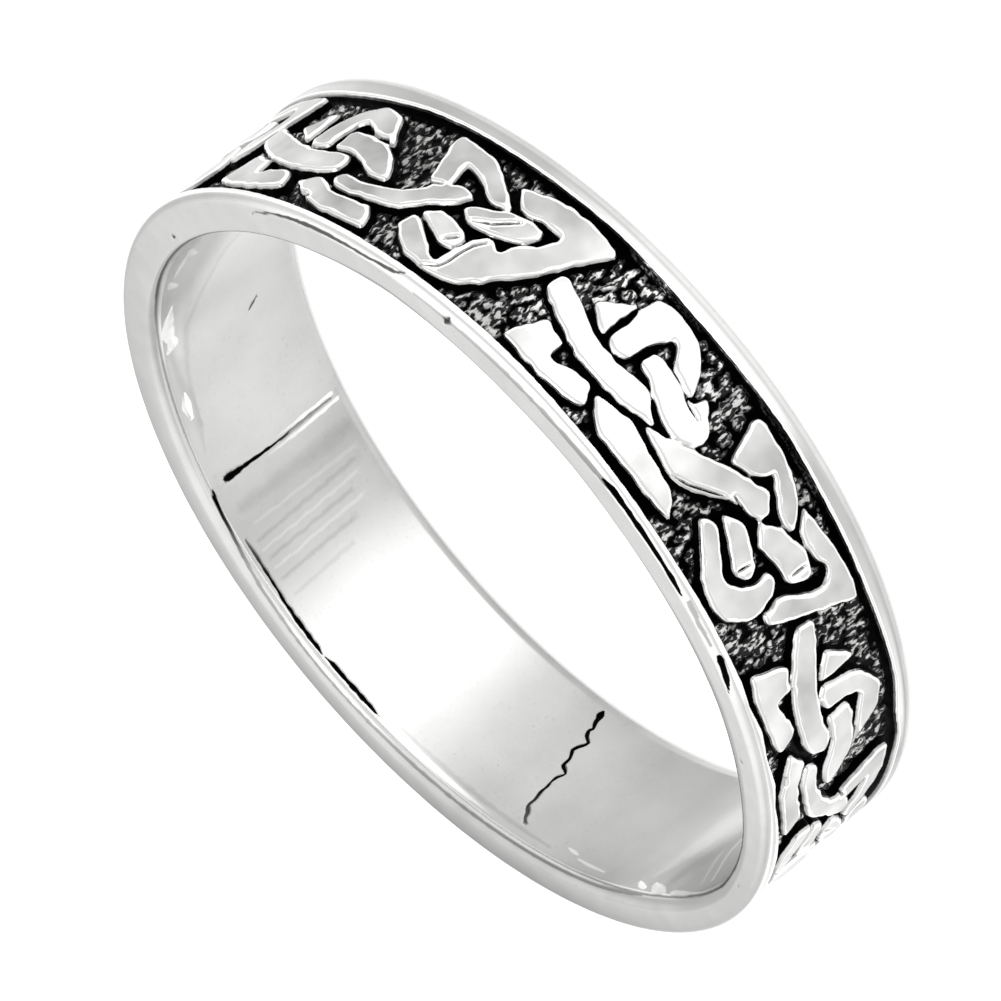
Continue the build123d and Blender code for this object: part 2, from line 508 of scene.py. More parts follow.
MARKS = (
    Mark("straight join", (
        (58.6, 1.95, 0.03), (58.7, 2.03, 0.1), (58.8, 2.25, 0.07), (58.9, 2.6, 0.05), (59.2, 3.4, 0.036),
        (59.3, 4.1, 0.02)), groove=0.05, dark=1.0, waver=0.02, ends=(1.0, 0.62)),
    Mark("straight join end", (
        (59.25, 3.8, 0.03), (59.3, 4.4, 0.045), (59.3, 5.0, 0.04), (59.2, 5.6, 0.02)),
        groove=0.04, dark=0.52, waver=0.02),
    # Painted highlights along both lips of the straight join
    Mark("left lip of the straight join", (
        (57.9, 2.5, 0.02), (58.4, 3.3, 0.05), (58.6, 4.3, 0.055), (58.5, 5.7, 0.045)),
        bright=0.6, waver=0.02, ends=(0.3, 1.0)),
    Mark("right lip of the straight join", (
        (59.7, 2.4, 0.03), (60.0, 3.3, 0.05), (60.1, 4.4, 0.055), (59.9, 5.8, 0.045)),
        bright=0.6, waver=0.02, ends=(0.4, 1.0)),
    Mark("jagged join", (
        (123.4, 5.8, 0.03), (123.5, 5.66, 0.08), (123.9, 5.45, 0.06), (124.5, 5.22, 0.03), (124.2, 5.12, 0.05),
        (124.9, 4.92, 0.04), (125.9, 4.82, 0.035), (125.4, 4.6, 0.04), (125.0, 4.4, 0.05), (125.8, 4.1, 0.03),
        (126.0, 3.86, 0.05), (127.4, 3.72, 0.025), (126.8, 3.5, 0.04), (126.9, 3.2, 0.035), (127.0, 2.9, 0.045),
        (127.4, 2.4, 0.04), (128.4, 2.16, 0.06), (128.6, 2.08, 0.04), (129.3, 1.94, 0.045)),
        groove=0.035, dark=1.0, waver=0.035, ends=(1.0, 0.62)),
    Mark("bore dent", ((34.9, 4.55, 0.02), (35.5, 4.42, 0.05), (36.1, 4.3, 0.02)), groove=0.02, dark=0.62),
    Mark("rail scratch one", (
        (-126.8, 0.36, 0.01), (-125.5, 0.27, 0.03), (-123.5, 0.21, 0.07), (-121.5, 0.17, 0.085),
        (-120.7, 0.15, 0.04)), groove=0.02, dark=1.0, waver=0.01),
    Mark("rail smear", ((-119.4, 0.22, 0.05), (-116, 0.24, 0.07), (-112.5, 0.2, 0.07)), dark=0.56, waver=0.04),
    Mark("rail scratch two", (
        (-111.3, 0.27, 0.03), (-109, 0.26, 0.05), (-103, 0.25, 0.06), (-99, 0.24, 0.065), (-95.6, 0.22, 0.075),
        (-94.6, 0.24, 0.03)), groove=0.02, dark=1.0, waver=0.015),
    Mark("rail scratch three", (
        (-58.5, 0.06, 0.03), (-57.4, 0.18, 0.045), (-53, 0.27, 0.045), (-45, 0.29, 0.055), (-38, 0.33, 0.055),
        (-33, 0.43, 0.045), (-29.5, 0.52, 0.03)), groove=0.01, dark=0.66, waver=0.012),
    Mark("rail tick", ((-66.8, 0.3, 0.08), (-66.4, 0.52, 0.07)), groove=0.01, dark=0.7),
    Mark("rail haze", (
        (-95, 0.26, 0.07), (-90, 0.31, 0.085), (-83, 0.33, 0.08), (-70, 0.35, 0.075), (-61, 0.36, 0.04)),
        dark=0.6, waver=0.015, ends=(1.0, 0.85)),
    Mark("side pit one", ((-4.5, 0.82, 0.05), (-3.8, 0.82, 0.05)), groove=0.01, dark=0.7),
    Mark("side pit two", ((-139.7, 0.86, 0.045), (-139.1, 0.9, 0.045)), groove=0.01, dark=0.6),
    Mark("side pit three", ((-169.3, 0.8, 0.05), (-168.7, 0.85, 0.05)), groove=0.01, dark=0.6),
    Mark("bore edge line", (
        (58.4, 1.48, 0.03), (59.6, 1.46, 0.075), (61, 1.43, 0.06), (65, 1.41, 0.055), (70, 1.35, 0.055),
        (76, 1.28, 0.055), (90, 1.25, 0.05), (110, 1.29, 0.055), (130, 1.31, 0.05), (150, 1.32, 0.055),
        (158, 1.36, 0.055), (160, 1.37, 0.02)), dark=0.55, waver=0.01),
    Mark("start of the bore edge line", (
        (59, 1.5, 0.03), (59.8, 1.45, 0.06), (61.4, 1.43, 0.05), (66, 1.4, 0.05), (71, 1.34, 0.05),
        (76, 1.28, 0.04)), dark=0.8, ends=(1.0, 0.6)),
    Mark("bore edge streak one", (
        (68.3, 1.62, 0.02), (71.5, 1.64, 0.045), (76.5, 1.62, 0.03), (79.5, 1.58, 0.04), (83, 1.56, 0.055),
        (87.5, 1.55, 0.045), (89, 1.52, 0.02)), groove=0.02, dark=1.0, waver=0.015, ends=(0.6, 1.0)),
    Mark("bore edge streak two", (
        (89.6, 1.55, 0.02), (91, 1.58, 0.05), (96, 1.58, 0.055), (98.8, 1.58, 0.045), (101, 1.58, 0.01)),
        groove=0.02, dark=1.0, waver=0.015),
    # A painted highlight on the bore's edge, painted shade below it, and a patch of painted shade further round
    Mark("bore edge gleam", (
        (100.5, 1.56, 0.05), (106, 1.61, 0.085), (116, 1.6, 0.075), (127, 1.57, 0.045), (133, 1.55, 0.02)),
        bright=0.9, ends=(1.0, 0.12)),
    Mark("bore edge gleam foot", (
        (104, 1.78, 0.02), (112, 1.8, 0.06), (120, 1.78, 0.07), (136, 1.72, 0.05)), shade=-0.14, waver=0.02),
    Mark("bore edge haze", (
        (33, 1.7, 0.05), (38, 1.78, 0.1), (44, 1.92, 0.12), (49, 1.9, 0.1), (52, 1.8, 0.03)), shade=-0.1),
    # Painted glints: highlights painted onto slight bulges of the hammered edge
    *(
        Mark(f"glint {count}", tuple(points), groove=-0.006, bright=bright, waver=waver)
        for count, bright, waver, *points in (
            ("one", 1.0, 0.0, (7.2, 2.12, 0.05), (9, 2.24, 0.08), (10.8, 2.42, 0.05)),
            ("two", 0.9, 0.0, (8.8, 2.1, 0.04), (11.4, 2.0, 0.09), (14, 1.88, 0.04)),
            ("three", 1.0, 0.0, (15, 1.7, 0.04), (16.4, 1.8, 0.08), (17.4, 1.96, 0.04)),
            ("four", 1.0, 0.03, (22.6, 1.86, 0.03), (24.5, 1.78, 0.08), (27, 1.68, 0.13), (29.2, 1.74, 0.09),
             (31, 1.82, 0.1), (31.9, 1.64, 0.05)),
            ("five", 1.0, 0.0, (41.6, 1.8, 0.03), (43.8, 1.75, 0.1), (46.2, 1.78, 0.04)),
            ("six", 1.0, 0.0, (156.6, 1.76, 0.03), (157.8, 1.66, 0.06), (159, 1.6, 0.04)),
            ("seven", 1.0, 0.0, (160.4, 1.78, 0.05), (161.6, 1.67, 0.1), (163.3, 1.56, 0.11),
             (164.8, 1.47, 0.06)),
            ("eight", 1.0, 0.02, (166.4, 1.58, 0.03), (168.6, 1.5, 0.085), (171, 1.52, 0.05)),
            ("nine", 0.9, 0.0, (171.6, 1.52, 0.03), (174, 1.44, 0.055), (176.4, 1.4, 0.03)),
        )
    ),
    # Painted highlights: two pale spots in the bore
    Mark("pale spot one", ((138.6, 1.96, 0.03), (139.8, 1.93, 0.07), (141, 1.9, 0.04)), bright=0.38),
    Mark("pale spot two", ((141.8, 1.79, 0.03), (144.6, 1.76, 0.06), (148, 1.74, 0.03)), bright=0.38),
    # Painted light and shade in the bore: a facet, a glow, a fan and upright streaks
    Mark("left facet", (
        (16, 4.4, 0.06), (17.8, 3.71, 0.09), (23.5, 3.0, 0.09), (29.4, 2.33, 0.09), (38.9, 2.06, 0.08),
        (48.6, 1.98, 0.05)), shade=-0.09, waver=0.03),
    Mark("left glow", (
        (2, 2.6, 0.1), (8, 2.5, 0.34), (16, 2.15, 0.36), (26, 2.0, 0.26), (34, 1.95, 0.1)), shade=0.2,
        ends=(0.5, 0.5)),
    Mark("fan light", ((158.3, 2.1, 0.08), (160.2, 3.0, 0.3), (162.4, 4.6, 0.6)), shade=0.14),
    Mark("fan dark", ((163.6, 2.1, 0.22), (167.4, 3.1, 0.36), (172.6, 4.4, 0.5)), shade=-0.12),
    Mark("fan streak", ((176, 1.9, 0.05), (173.4, 2.8, 0.09), (171.4, 3.6, 0.07)), shade=0.4),
    Mark("second fan streak", ((172.8, 1.9, 0.05), (171, 2.5, 0.1), (169.4, 3.1, 0.06)), shade=0.22),
    *(
        Mark(f"upright streak {count}", (top, foot), shade=shade, waver=waver)
        for count, shade, waver, top, foot in (
            ("one", -0.1, 0.03, (64.0, 2.0, 0.16), (64.4, 5.6, 0.22)),
            ("two", 0.09, 0.03, (67.2, 2.1, 0.04), (67.6, 5.5, 0.06)),
            ("three", -0.12, 0.04, (69.6, 1.9, 0.05), (69.2, 5.4, 0.07)),
            ("four", 0.11, 0.04, (71.2, 1.9, 0.04), (71.0, 5.2, 0.05)),
            ("five", -0.14, 0.04, (72.8, 2.0, 0.05), (72.6, 4.8, 0.06)),
            ("six", 0.12, 0.04, (74.6, 1.9, 0.04), (74.2, 5.0, 0.05)),
            ("seven", -0.14, 0.04, (76.4, 1.9, 0.05), (76.2, 4.4, 0.06)),
            ("eight", -0.12, 0.04, (79.4, 2.0, 0.05), (79.0, 4.0, 0.06)),
        )
    ),
)


class MarkEffect(NamedTuple):
    """What marks do at each point: depth, darkness, a painted highlight, and painted light and shade."""

    depth: np.ndarray
    dark: np.ndarray
    bright: np.ndarray
    shade: np.ndarray


@dataclass(frozen=True)
class MarkField:
    """All marks, laid out flat at one radius.

    The radius and the steps along a mark are in millimetres. How far an effect reaches from
    a mark's middle, and the place and width of the lip beside a groove, are in half widths.
    The lip's height is a share of the groove's depth. The farthest reach of any effect is
    taken in half widths too, and so are the places beside a mark where the mesh follows it.
    A mark that wavers does so in waves, and grows and shrinks in swells, of sizes in
    millimetres.
    """

    radius: float = 10.0
    stride: float = 0.075
    groove_reach: float = 1.4
    dark_reach: float = 1.8
    bright_reach: float = 2.4
    bright_fade: float = 1.8
    lip_height: float = 0.22
    lip_place: float = 2.2
    lip_width: float = 0.7
    farthest: float = 3.5
    wave_size: float = 0.25
    swell_size: float = 0.18
    shade_sides: tuple[float, ...] = (-1.4, -1.05, 0.0, 1.05, 1.4)
    groove_sides: tuple[float, ...] = (-2.4, -1.5, -0.8, 0.0, 0.8, 1.5, 2.4)

    def read(self, angle: np.ndarray, run: np.ndarray) -> MarkEffect:
        """Adds up what the marks do at many points.

        Args:
            angle: Angles about the finger axis, in radians.
            run: Runs along the surface, in millimetres.

        Returns:
            The marks' effect at each point.
        """
        turn = (angle + math.pi) % FULL_TURN - math.pi
        flat = np.column_stack([turn * self.radius, run])
        depth, dark, bright, shade = np.zeros((4, len(run)))
        for mark in MARKS:
            route = self.route(mark)
            margin = route[:, 2].max() * self.farthest
            low, high = route[:, :2].min(axis=0) - margin, route[:, :2].max(axis=0) + margin
            near = np.flatnonzero((flat > low).all(axis=1) & (flat < high).all(axis=1))
            if not len(near):
                continue
            share, strength = self.share(flat[near], route)
            lip = self.lip_height * np.exp(-((share - self.lip_place) / self.lip_width) ** 2)
            depth[near] += mark.groove * strength * share_of(share, self.groove_reach, -1)
            depth[near] -= max(mark.groove, 0) * strength * lip
            darkened = mark.dark * strength * share_of(share, self.dark_reach, -1)
            dark[near] = np.maximum(dark[near], darkened)
            brightened = mark.bright * strength * share_of(share, self.bright_reach, -self.bright_fade)
            bright[near] = np.maximum(bright[near], brightened)
            shade[near] += mark.shade * strength * share_of(share, self.groove_reach, -1 / 1.2)
        return MarkEffect(depth, dark, bright, shade)

    def route(self, mark: Mark) -> np.ndarray:
        """Follows a mark in short steps, with the unevenness of something made by hand.

        Args:
            mark: The mark.

        Returns:
            Rows of (along, run, half width, strength), with lengths in millimetres.
        """
        rows = np.array(mark.points, float)
        rows[:, 0] = np.radians(rows[:, 0]) * self.radius
        arc = arc_lengths(rows[:, :2])
        steps = np.linspace(0, arc[-1], max(3, round(arc[-1] / self.stride)))
        columns = [np.interp(steps, arc, column) for column in rows.T]
        route = np.column_stack([*columns, np.interp(steps, (0, arc[-1]), mark.ends)])
        if mark.waver:
            places = np.column_stack([steps, np.full(len(steps), 7.0), np.zeros(len(steps))])
            sway = noise_at(places, self.wave_size, len(mark.name))
            swell = noise_at(places, self.swell_size, len(mark.name) + 9.5)
            route[:, :2] += crosswise(route) * (sway * mark.waver)[:, None]
            route[:, 2] *= 1 + 0.5 * swell
        return route

    def share(self, flat: np.ndarray, route: np.ndarray) -> tuple[np.ndarray, np.ndarray]:
        """Measures how far points lie from a mark's middle.

        Args:
            flat: Rows of (along, run) in millimetres.
            route: The mark's steps.

        Returns:
            Distances, as shares of the mark's half width there, and the mark's strength there.
        """
        best, strength = np.full(len(flat), 99.0), np.ones(len(flat))
        for start, end in zip(route[:-1], route[1:]):
            part, away = to_segment(*flat.T, start, end)
            away /= start[2] + (end[2] - start[2]) * part
            strength = np.where(away < best, start[3] + (end[3] - start[3]) * part, strength)
            best = np.minimum(best, away)
        return best, strength

    def lines(self) -> list[np.ndarray]:
        """Gives lines along the marks, for a mesh to follow.

        Returns:
            Rows of (angle in radians, run) for each line.
        """
        found = []
        for mark in MARKS:
            route = self.route(mark)
            across = crosswise(route)
            for side in self.shade_sides if mark.shade else self.groove_sides:
                beside = route[:, :2] + across * (route[:, 2] * side)[:, None]
                found.append(np.column_stack([beside[:, 0] / self.radius, beside[:, 1]]))
        return found


# Unrolled sheets
class Line(NamedTuple):
    """A line on an unrolled sheet: its points and whether it closes on itself."""

    points: np.ndarray
    closed: bool


@dataclass
class Sheet:
    """One side of the band unrolled flat, filled with triangles between given lines.

    The length runs round the band, and the low and high edges are heights on the ring, all
    in millimetres. Each long edge has as many steps as there are columns. The short edges
    have points a fill step apart.
    """

    length: float
    low: float
    high: float
    columns: int
    fill_step: float
    points: list[tuple[float, float]] = field(default_factory=list)
    edges: list[tuple[int, int]] = field(default_factory=list)
    seam_heights: list[float] = field(default_factory=list)

    def add_line(self, line: Line) -> None:
        """Adds a line that triangle edges have to follow.

        Args:
            line: The line, in sheet coordinates.
        """
        first = len(self.points)
        self.add_points(line.points)
        last = len(self.points) - 1
        self.edges += [(i, i + 1) for i in range(first, last)]
        if line.closed:
            self.edges.append((last, first))
        else:
            self.seam_heights += [float(b) for a, b in line.points if abs(a) < 1e-9]

    def add_row(self, height: float) -> None:
        """Adds a line right round the band at one height."""
        steps = np.arange(self.columns + 1) / self.columns * self.length
        self.add_line(Line(np.column_stack([steps, np.full(self.columns + 1, height)]), False))

    def add_points(self, points: np.ndarray) -> None:
        """Adds loose points for the triangles to meet at."""
        self.points += [(float(a), float(b)) for a, b in points]

    def triangles(self) -> tuple[np.ndarray, np.ndarray]:
        """Fills the sheet with triangles.

        Returns:
            The points as (along, across) rows, and the triangles as rows of three indices.
        """
        self.add_row(self.low)
        self.add_row(self.high)
        heights = sorted(set(self.seam_heights))
        filled = [heights[0]]
        for height in heights[1:]:
            start = filled[-1]
            parts = max(1, round((height - start) / self.fill_step))
            filled += [start + (height - start) * (k + 1) / parts for k in range(parts)]
        for along in (0.0, self.length):
            self.add_line(Line(np.column_stack([np.full(len(filled), along), filled]), False))
        flat = [Vector(point) for point in self.points]
        coords, _, faces, *_ = delaunay_2d_cdt(flat, self.edges, [], 0, 1e-6, False)
        return np.array([tuple(c) for c in coords]), np.array([tuple(f) for f in faces])


def contour_lines(grid: np.ndarray, level: float, step: tuple[float, float], low: float) -> list[Line]:
    """Follows the lines where a grid of values crosses a level.

    Args:
        grid: Values, first along the band and then across it.
        level: The value to follow.
        step: Spacing of the grid along and across.
        low: Height of the grid's first row.

    Returns:
        The lines in sheet coordinates.
    """
    above = grid > level
    code = above[:-1, :-1] * 1 + above[1:, :-1] * 2 + above[1:, 1:] * 4 + above[:-1, 1:] * 8
    pairs = {
        1: ("LB",), 2: ("BR",), 3: ("LR",), 4: ("RT",), 6: ("BT",), 7: ("LT",), 8: ("TL",),
        9: ("TB",), 11: ("TR",), 12: ("RL",), 13: ("RB",), 14: ("BL",),
    }
    links: dict[tuple[int, int, int], list[tuple[int, int, int]]] = {}
    for i, j in zip(*np.nonzero((code > 0) & (code < 15))):
        i, j = int(i), int(j)
        sides = {"B": (0, i, j), "T": (0, i, j + 1), "L": (1, i, j), "R": (1, i + 1, j)}
        case = int(code[i, j])
        if case in (5, 10):
            joined = grid[i:i + 2, j:j + 2].mean() > level
            chosen = ("LT", "BR") if (case == 5) == joined else ("LB", "RT")
        else:
            chosen = pairs[case]
        for one, other in chosen:
            links.setdefault(sides[one], []).append(sides[other])
            links.setdefault(sides[other], []).append(sides[one])

    def place(key: tuple[int, int, int]) -> tuple[float, float]:
        """Finds where the level cuts one side of a grid cell.

        Args:
            key: The side: 0 if it runs along or 1 if across, and the grid point it starts from.

        Returns:
            The place as (along, across).
        """
        kind, i, j = key
        other = grid[i + 1, j] if kind == 0 else grid[i, j + 1]
        part = (level - grid[i, j]) / (other - grid[i, j])
        return ((i + part * (kind == 0)) * step[0], low + (j + part * (kind == 1)) * step[1])

    lines = []
    seen: set[tuple[int, int, int]] = set()
    ends = [key for key, near in links.items() if len(near) == 1]
    for start in ends + list(links):
        if start in seen:
            continue
        chain = [start]
        seen.add(start)
        while True:
            following = [key for key in links[chain[-1]] if key not in seen]
            if not following:
                break
            chain.append(following[0])
            seen.add(following[0])
        lines.append(Line(np.array([place(key) for key in chain]), len(links[start]) == 2))
    return lines


def thin_line(line: Line, longest: float, turn: float, shortest: float) -> Line | None:
    """Drops the points that a line doesn't need for its shape.

    Args:
        line: The line to thin.
        longest: Longest step that may be left, in millimetres.
        turn: How far the line may turn within one step, in radians.
        shortest: Shortest step, in millimetres.

    Returns:
        The thinned line, or nothing where the line is too short to keep.
    """
    points = np.vstack([line.points, line.points[:1]]) if line.closed else line.points
    arc = arc_lengths(points)
    if arc[-1] < 4 * shortest:
        return None
    along, across = (
        np.convolve(np.pad(column, 2, "edge"), np.ones(5) / 5, "valid") for column in np.diff(points, axis=0).T
    )
    heading = np.unwrap(np.arctan2(across, along))
    kept = [0]
    for i in range(1, len(points) - 1):
        run = arc[i] - arc[kept[-1]]
        if run >= longest or (run >= shortest and abs(heading[i] - heading[kept[-1]]) > turn):
            kept.append(i)
    if arc[-1] - arc[kept[-1]] < shortest and len(kept) > 1:
        kept.pop()
    if not line.closed:
        kept.append(len(points) - 1)
    return Line(points[kept], line.closed)


# Raised knotwork
@dataclass
class KnotRelief:
    """The raised straps of the panel as a field of distances to their outlines.

    Attributes:
        cell: Size of a grid cell, in millimetres, as are all the sizes below.
        soften: How far the casting softens the straps' corners.
        swell: How far the straps' edges stand out from their outlines.
        least_turn: Turn in degrees below which a point of an outline is no corner.
        slight_cut: Length cut from a slight turn to round it.
        gentle_cut: Length cut from a right-angled corner.
        sharp_cut: Length cut from a pointed corner.
        cut_turns: The turns in degrees that get those three cuts.
        longest_cut: Longest cut, as a share of the straight stretch beside a corner.
        curve_points: Number of points on a rounded corner.
        wall_run: How far a strap's wall leans out from top to floor.
        lip_width: Width of the rounded edge of a strap's top.
        lip_drop: Depth of that rounded edge.
        near_start: Height from where the outlines are drawn in towards the near rail.
        near_pull: How far they are drawn in at the rail.
        waviness: Usual size of the waves in the straps' edges.
        wave_blurs: How often those waves are softened.
        tool_reach: Half width of the narrowest gap whose floor is stippled.
        floor_blurs: How often the limits of the stippled floor are softened.
        full_share: Softened share of wide floor from which it is fully stippled.
        crease_step: Length of the steps along a crease.
        crease_end: Width of a crease's ends, as a share of its middle.
        gap_pitch: Usual distance between the points along a narrow gap.
        gap_edge: Distance from a strap past which the middle of a gap may lie.
        gap_slope: Slope of the field of distances below which a point is in that middle.
        seam_margin: Width beside the sheet's seam that is kept free of loose points.
    """

    band: BandSizes
    layout: KnotLayout
    cell: float = 0.02
    soften: float = 0.04
    swell: float = 0.012
    least_turn: float = 3.0
    slight_cut: float = 0.5
    gentle_cut: float = 0.16
    sharp_cut: float = 0.07
    cut_turns: tuple[float, float, float] = (40.0, 80.0, 120.0)
    longest_cut: float = 0.46
    curve_points: int = 6
    wall_run: float = 0.05
    lip_width: float = 0.12
    lip_drop: float = 0.055
    near_start: float = 3.9
    near_pull: float = 0.09
    waviness: float = 0.015
    wave_blurs: int = 4
    tool_reach: float = 0.17
    floor_blurs: int = 7
    full_share: float = 0.2
    crease_step: float = 0.05
    crease_end: float = 0.35
    gap_pitch: float = 0.045
    gap_edge: float = 0.008
    gap_slope: float = 0.6
    seam_margin: float = 0.03

    def __post_init__(self) -> None:
        """Measures the grid and fills it from the CAD node."""
        self.length = FULL_TURN * self.band.strap_radius
        self.origin = math.radians(self.layout.front_start)
        self.across = self.band.panel_high - self.band.panel_low
        self.counts = (round(self.length / self.cell), round(self.across / self.cell))
        self.step = (self.length / self.counts[0], self.across / self.counts[1])
        loops = [self.rounded(self.drawn_in(loop)) for loop in self.read_outlines(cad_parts["ring_band"])]
        log.info("strap outlines: %d", len(loops))
        outline = np.vstack([np.hstack([loop, np.roll(loop, -1, axis=0)]) for loop in loops])
        self.creases = self.crease_lines()
        sharp = self.signed_distance(outline) + self.swell
        soft = np.clip(self.blurred(sharp), sharp - self.soften, sharp + self.soften / 2)
        self.distance = self.cut_creases(soft + self.unevenness(soft.shape))
        self.openness = self.open_floor()

    def read_outlines(self, node: bpy.types.Object) -> list[np.ndarray]:
        """Reads the outlines of the strap tops from the CAD node.

        Args:
            node: The node whose mesh holds the straps.

        Returns:
            For each outline its corners, as rows of (along, across) in millimetres.
        """
        shape = bmesh.new()
        shape.from_mesh(node.data)
        bmesh.ops.remove_doubles(shape, verts=shape.verts, dist=0.001 * MM)
        radius = self.band.strap_radius * MM
        on_top = {v for v in shape.verts if abs(math.hypot(v.co.x, v.co.y) - radius) < 0.003 * MM}
        nexts: dict[int, list[int]] = {}
        for edge in shape.edges:
            if not (edge.verts[0] in on_top and edge.verts[1] in on_top):
                continue
            tops = [f for f in edge.link_faces if all(v in on_top for v in f.verts) and self.faces_out(f)]
            if len(tops) == 1:
                one, other = (v.index for v in edge.verts)
                nexts.setdefault(one, []).append(other)
                nexts.setdefault(other, []).append(one)
        flat = {v.index: self.unroll(v.co) for v in on_top}
        shape.free()
        loops = []
        while nexts:
            here = next(iter(nexts))
            loop = [here]
            while nexts.get(here):
                following = nexts[here].pop()
                nexts[following].remove(here)
                if not nexts[here]:
                    del nexts[here]
                here = following
                loop.append(here)
            nexts.pop(here, None)
            corners = np.array([flat[index] for index in loop[:-1]])
            steps = np.diff(corners[:, 0], prepend=corners[0, 0])
            corners[:, 0] -= np.cumsum(np.round(steps / self.length)) * self.length
            loops.append(corners)
        return loops

    def drawn_in(self, loop: np.ndarray) -> np.ndarray:
        """Draws an outline in a little where it comes close to the near rail."""
        pull = share_of(loop[:, 1], self.near_start, self.band.knot_high - self.near_start)
        return np.column_stack([loop[:, 0], loop[:, 1] - pull * self.near_pull])

    def unevenness(self, shape: tuple[int, int]) -> np.ndarray:
        """Makes the slight waviness of hand-finished edges.

        Args:
            shape: Size of the grid.

        Returns:
            A change of distance for each grid point.
        """
        rough = np.random.default_rng(11).standard_normal(shape)
        for _ in range(self.wave_blurs):
            rough = self.blurred(rough)
        return rough / rough.std() * self.waviness

    def open_floor(self) -> np.ndarray:
        """Finds the wide parts of the floor, which the stippling tool could reach.

        Returns:
            For each grid point, 1 well inside a wide part and 0 in a narrow gap.
        """
        heights = self.band.panel_low + np.arange(self.distance.shape[1]) * self.step[1]
        from_rails = np.minimum(heights - self.band.panel_low, self.band.panel_high - heights)
        wide = ((self.distance < -self.tool_reach) & (from_rails > self.tool_reach)).astype(float)
        for _ in range(self.floor_blurs):
            wide = self.blurred(wide)
        return np.clip(wide / self.full_share, 0, 1)

    def rounded(self, loop: np.ndarray) -> np.ndarray:
        """Rounds the corners of an outline: slight turns into curves, sharp ones a little.

        Args:
            loop: The outline's points, as rows of (along, across).

        Returns:
            The rounded outline.
        """
        corners = loop[self.turning(loop)[2] > math.radians(self.least_turn)]
        before, after, turn = self.turning(corners)
        long_before, long_after = np.hypot(*before.T), np.hypot(*after.T)
        cuts = (self.slight_cut, self.gentle_cut, self.sharp_cut)
        limit = np.interp(np.degrees(turn), self.cut_turns, cuts)
        cut = np.minimum(limit, self.longest_cut * np.minimum(long_before, long_after))
        enter = corners + before / long_before[:, None] * cut[:, None]
        leave = corners + after / long_after[:, None] * cut[:, None]
        curve = np.linspace(0, 1, self.curve_points)
        parts = [(1 - t) ** 2 * enter + 2 * t * (1 - t) * corners + t ** 2 * leave for t in curve]
        return np.stack(parts, axis=1).reshape(-1, 2)

    def turning(self, loop: np.ndarray) -> tuple[np.ndarray, np.ndarray, np.ndarray]:
        """Gives the way back, the way on and the turn in radians at each point of a loop."""
        before, after = np.roll(loop, 1, axis=0) - loop, np.roll(loop, -1, axis=0) - loop
        return before, after, np.abs(np.arctan2(np.cross(-before, after), (-before * after).sum(axis=1)))

    def faces_out(self, face: bmesh.types.BMFace) -> bool:
        """Tells whether a face looks straight out from the finger axis.

        Args:
            face: The face.

        Returns:
            True for the top of a strap and false for its walls.
        """
        middle = face.calc_center_median()
        out = Vector((middle.x, middle.y, 0)).normalized()
        return face.normal.dot(out) > 0.9

    def unroll(self, place: Vector) -> tuple[float, float]:
        """Gives a point's place along the band and its height, in millimetres."""
        angle = (math.atan2(place.y, place.x) - self.origin) % FULL_TURN
        return angle * self.band.strap_radius, place.z / MM

    def grid_columns(self, low: float, high: float) -> np.ndarray:
        """Lists the grid's columns from just before one place to just past another."""
        return np.arange(int(low / self.step[0]), int(high / self.step[0]) + 2)

    def grid_rows(self, low: float, high: float) -> np.ndarray:
        """Lists the grid's rows from just under one height to just over another."""
        under, over = (int((height - self.band.panel_low) / self.step[1]) for height in (low, high))
        return np.arange(max(0, under), min(self.counts[1] + 1, over + 2))

    def signed_distance(self, segments: np.ndarray) -> np.ndarray:
        """Works out how far each grid point lies inside or outside the straps.

        Args:
            segments: The pieces of outline.

        Returns:
            Distances in millimetres, above zero inside a strap.
        """
        wide, high = self.counts[0] + 1, self.counts[1] + 1
        far_away, reach = 9.0, 0.5
        grid = np.full((wide, high), far_away)
        crossings = np.zeros((wide, high + 1), np.int32)
        base, (pitch, rise) = self.band.panel_low, self.step
        copies = np.vstack([segments + [k * self.length, 0, k * self.length, 0] for k in (-1, 0, 1)])
        for x0, y0, x1, y1 in copies:
            (left, right), (under, over) = sorted((x0, x1)), sorted((y0, y1))
            columns = self.grid_columns(left - reach, right + reach)
            columns = columns[(columns >= 0) & (columns < wide)]
            if not len(columns):
                continue
            rows = self.grid_rows(under - reach, over + reach)
            where = np.ix_(columns, rows)
            _, near = to_segment(columns[:, None] * pitch, base + rows * rise, (x0, y0), (x1, y1))
            grid[where] = np.minimum(grid[where], near)
            ahead = np.arange(max(0, math.ceil(left / pitch - 1e-7)), wide)
            ahead = ahead[(ahead * pitch >= left) & (ahead * pitch < right)]
            if len(ahead):
                cut = y0 + (ahead * pitch - x0) / (x1 - x0) * (y1 - y0)
                np.add.at(crossings, (ahead, np.clip(np.ceil((cut - base) / rise), 0, high).astype(int)), 1)
        inside = np.cumsum(crossings, axis=1)[:, :high] % 2 == 1
        grid[-1], inside[-1] = grid[0], inside[0]
        return np.where(inside, grid, -grid)

    def blurred(self, grid: np.ndarray) -> np.ndarray:
        """Softens a field over the grid, as casting rounds the straps' corners.

        Args:
            grid: The field, such as the distances to the outlines.

        Returns:
            The softened field.
        """
        reach = int(3 * self.soften / self.cell)
        taps = np.exp(-0.5 * (np.arange(-reach, reach + 1) * self.cell / self.soften) ** 2)
        taps /= taps.sum()
        ring = grid[:-1]
        soft = sum(tap * np.roll(ring, shift, axis=0) for tap, shift in zip(taps, range(-reach, reach + 1)))
        padded = np.pad(soft, ((0, 0), (reach, reach)), "edge")
        high = grid.shape[1]
        soft = sum(tap * padded[:, k:k + high] for k, tap in enumerate(taps))
        return np.vstack([soft, soft[:1]])

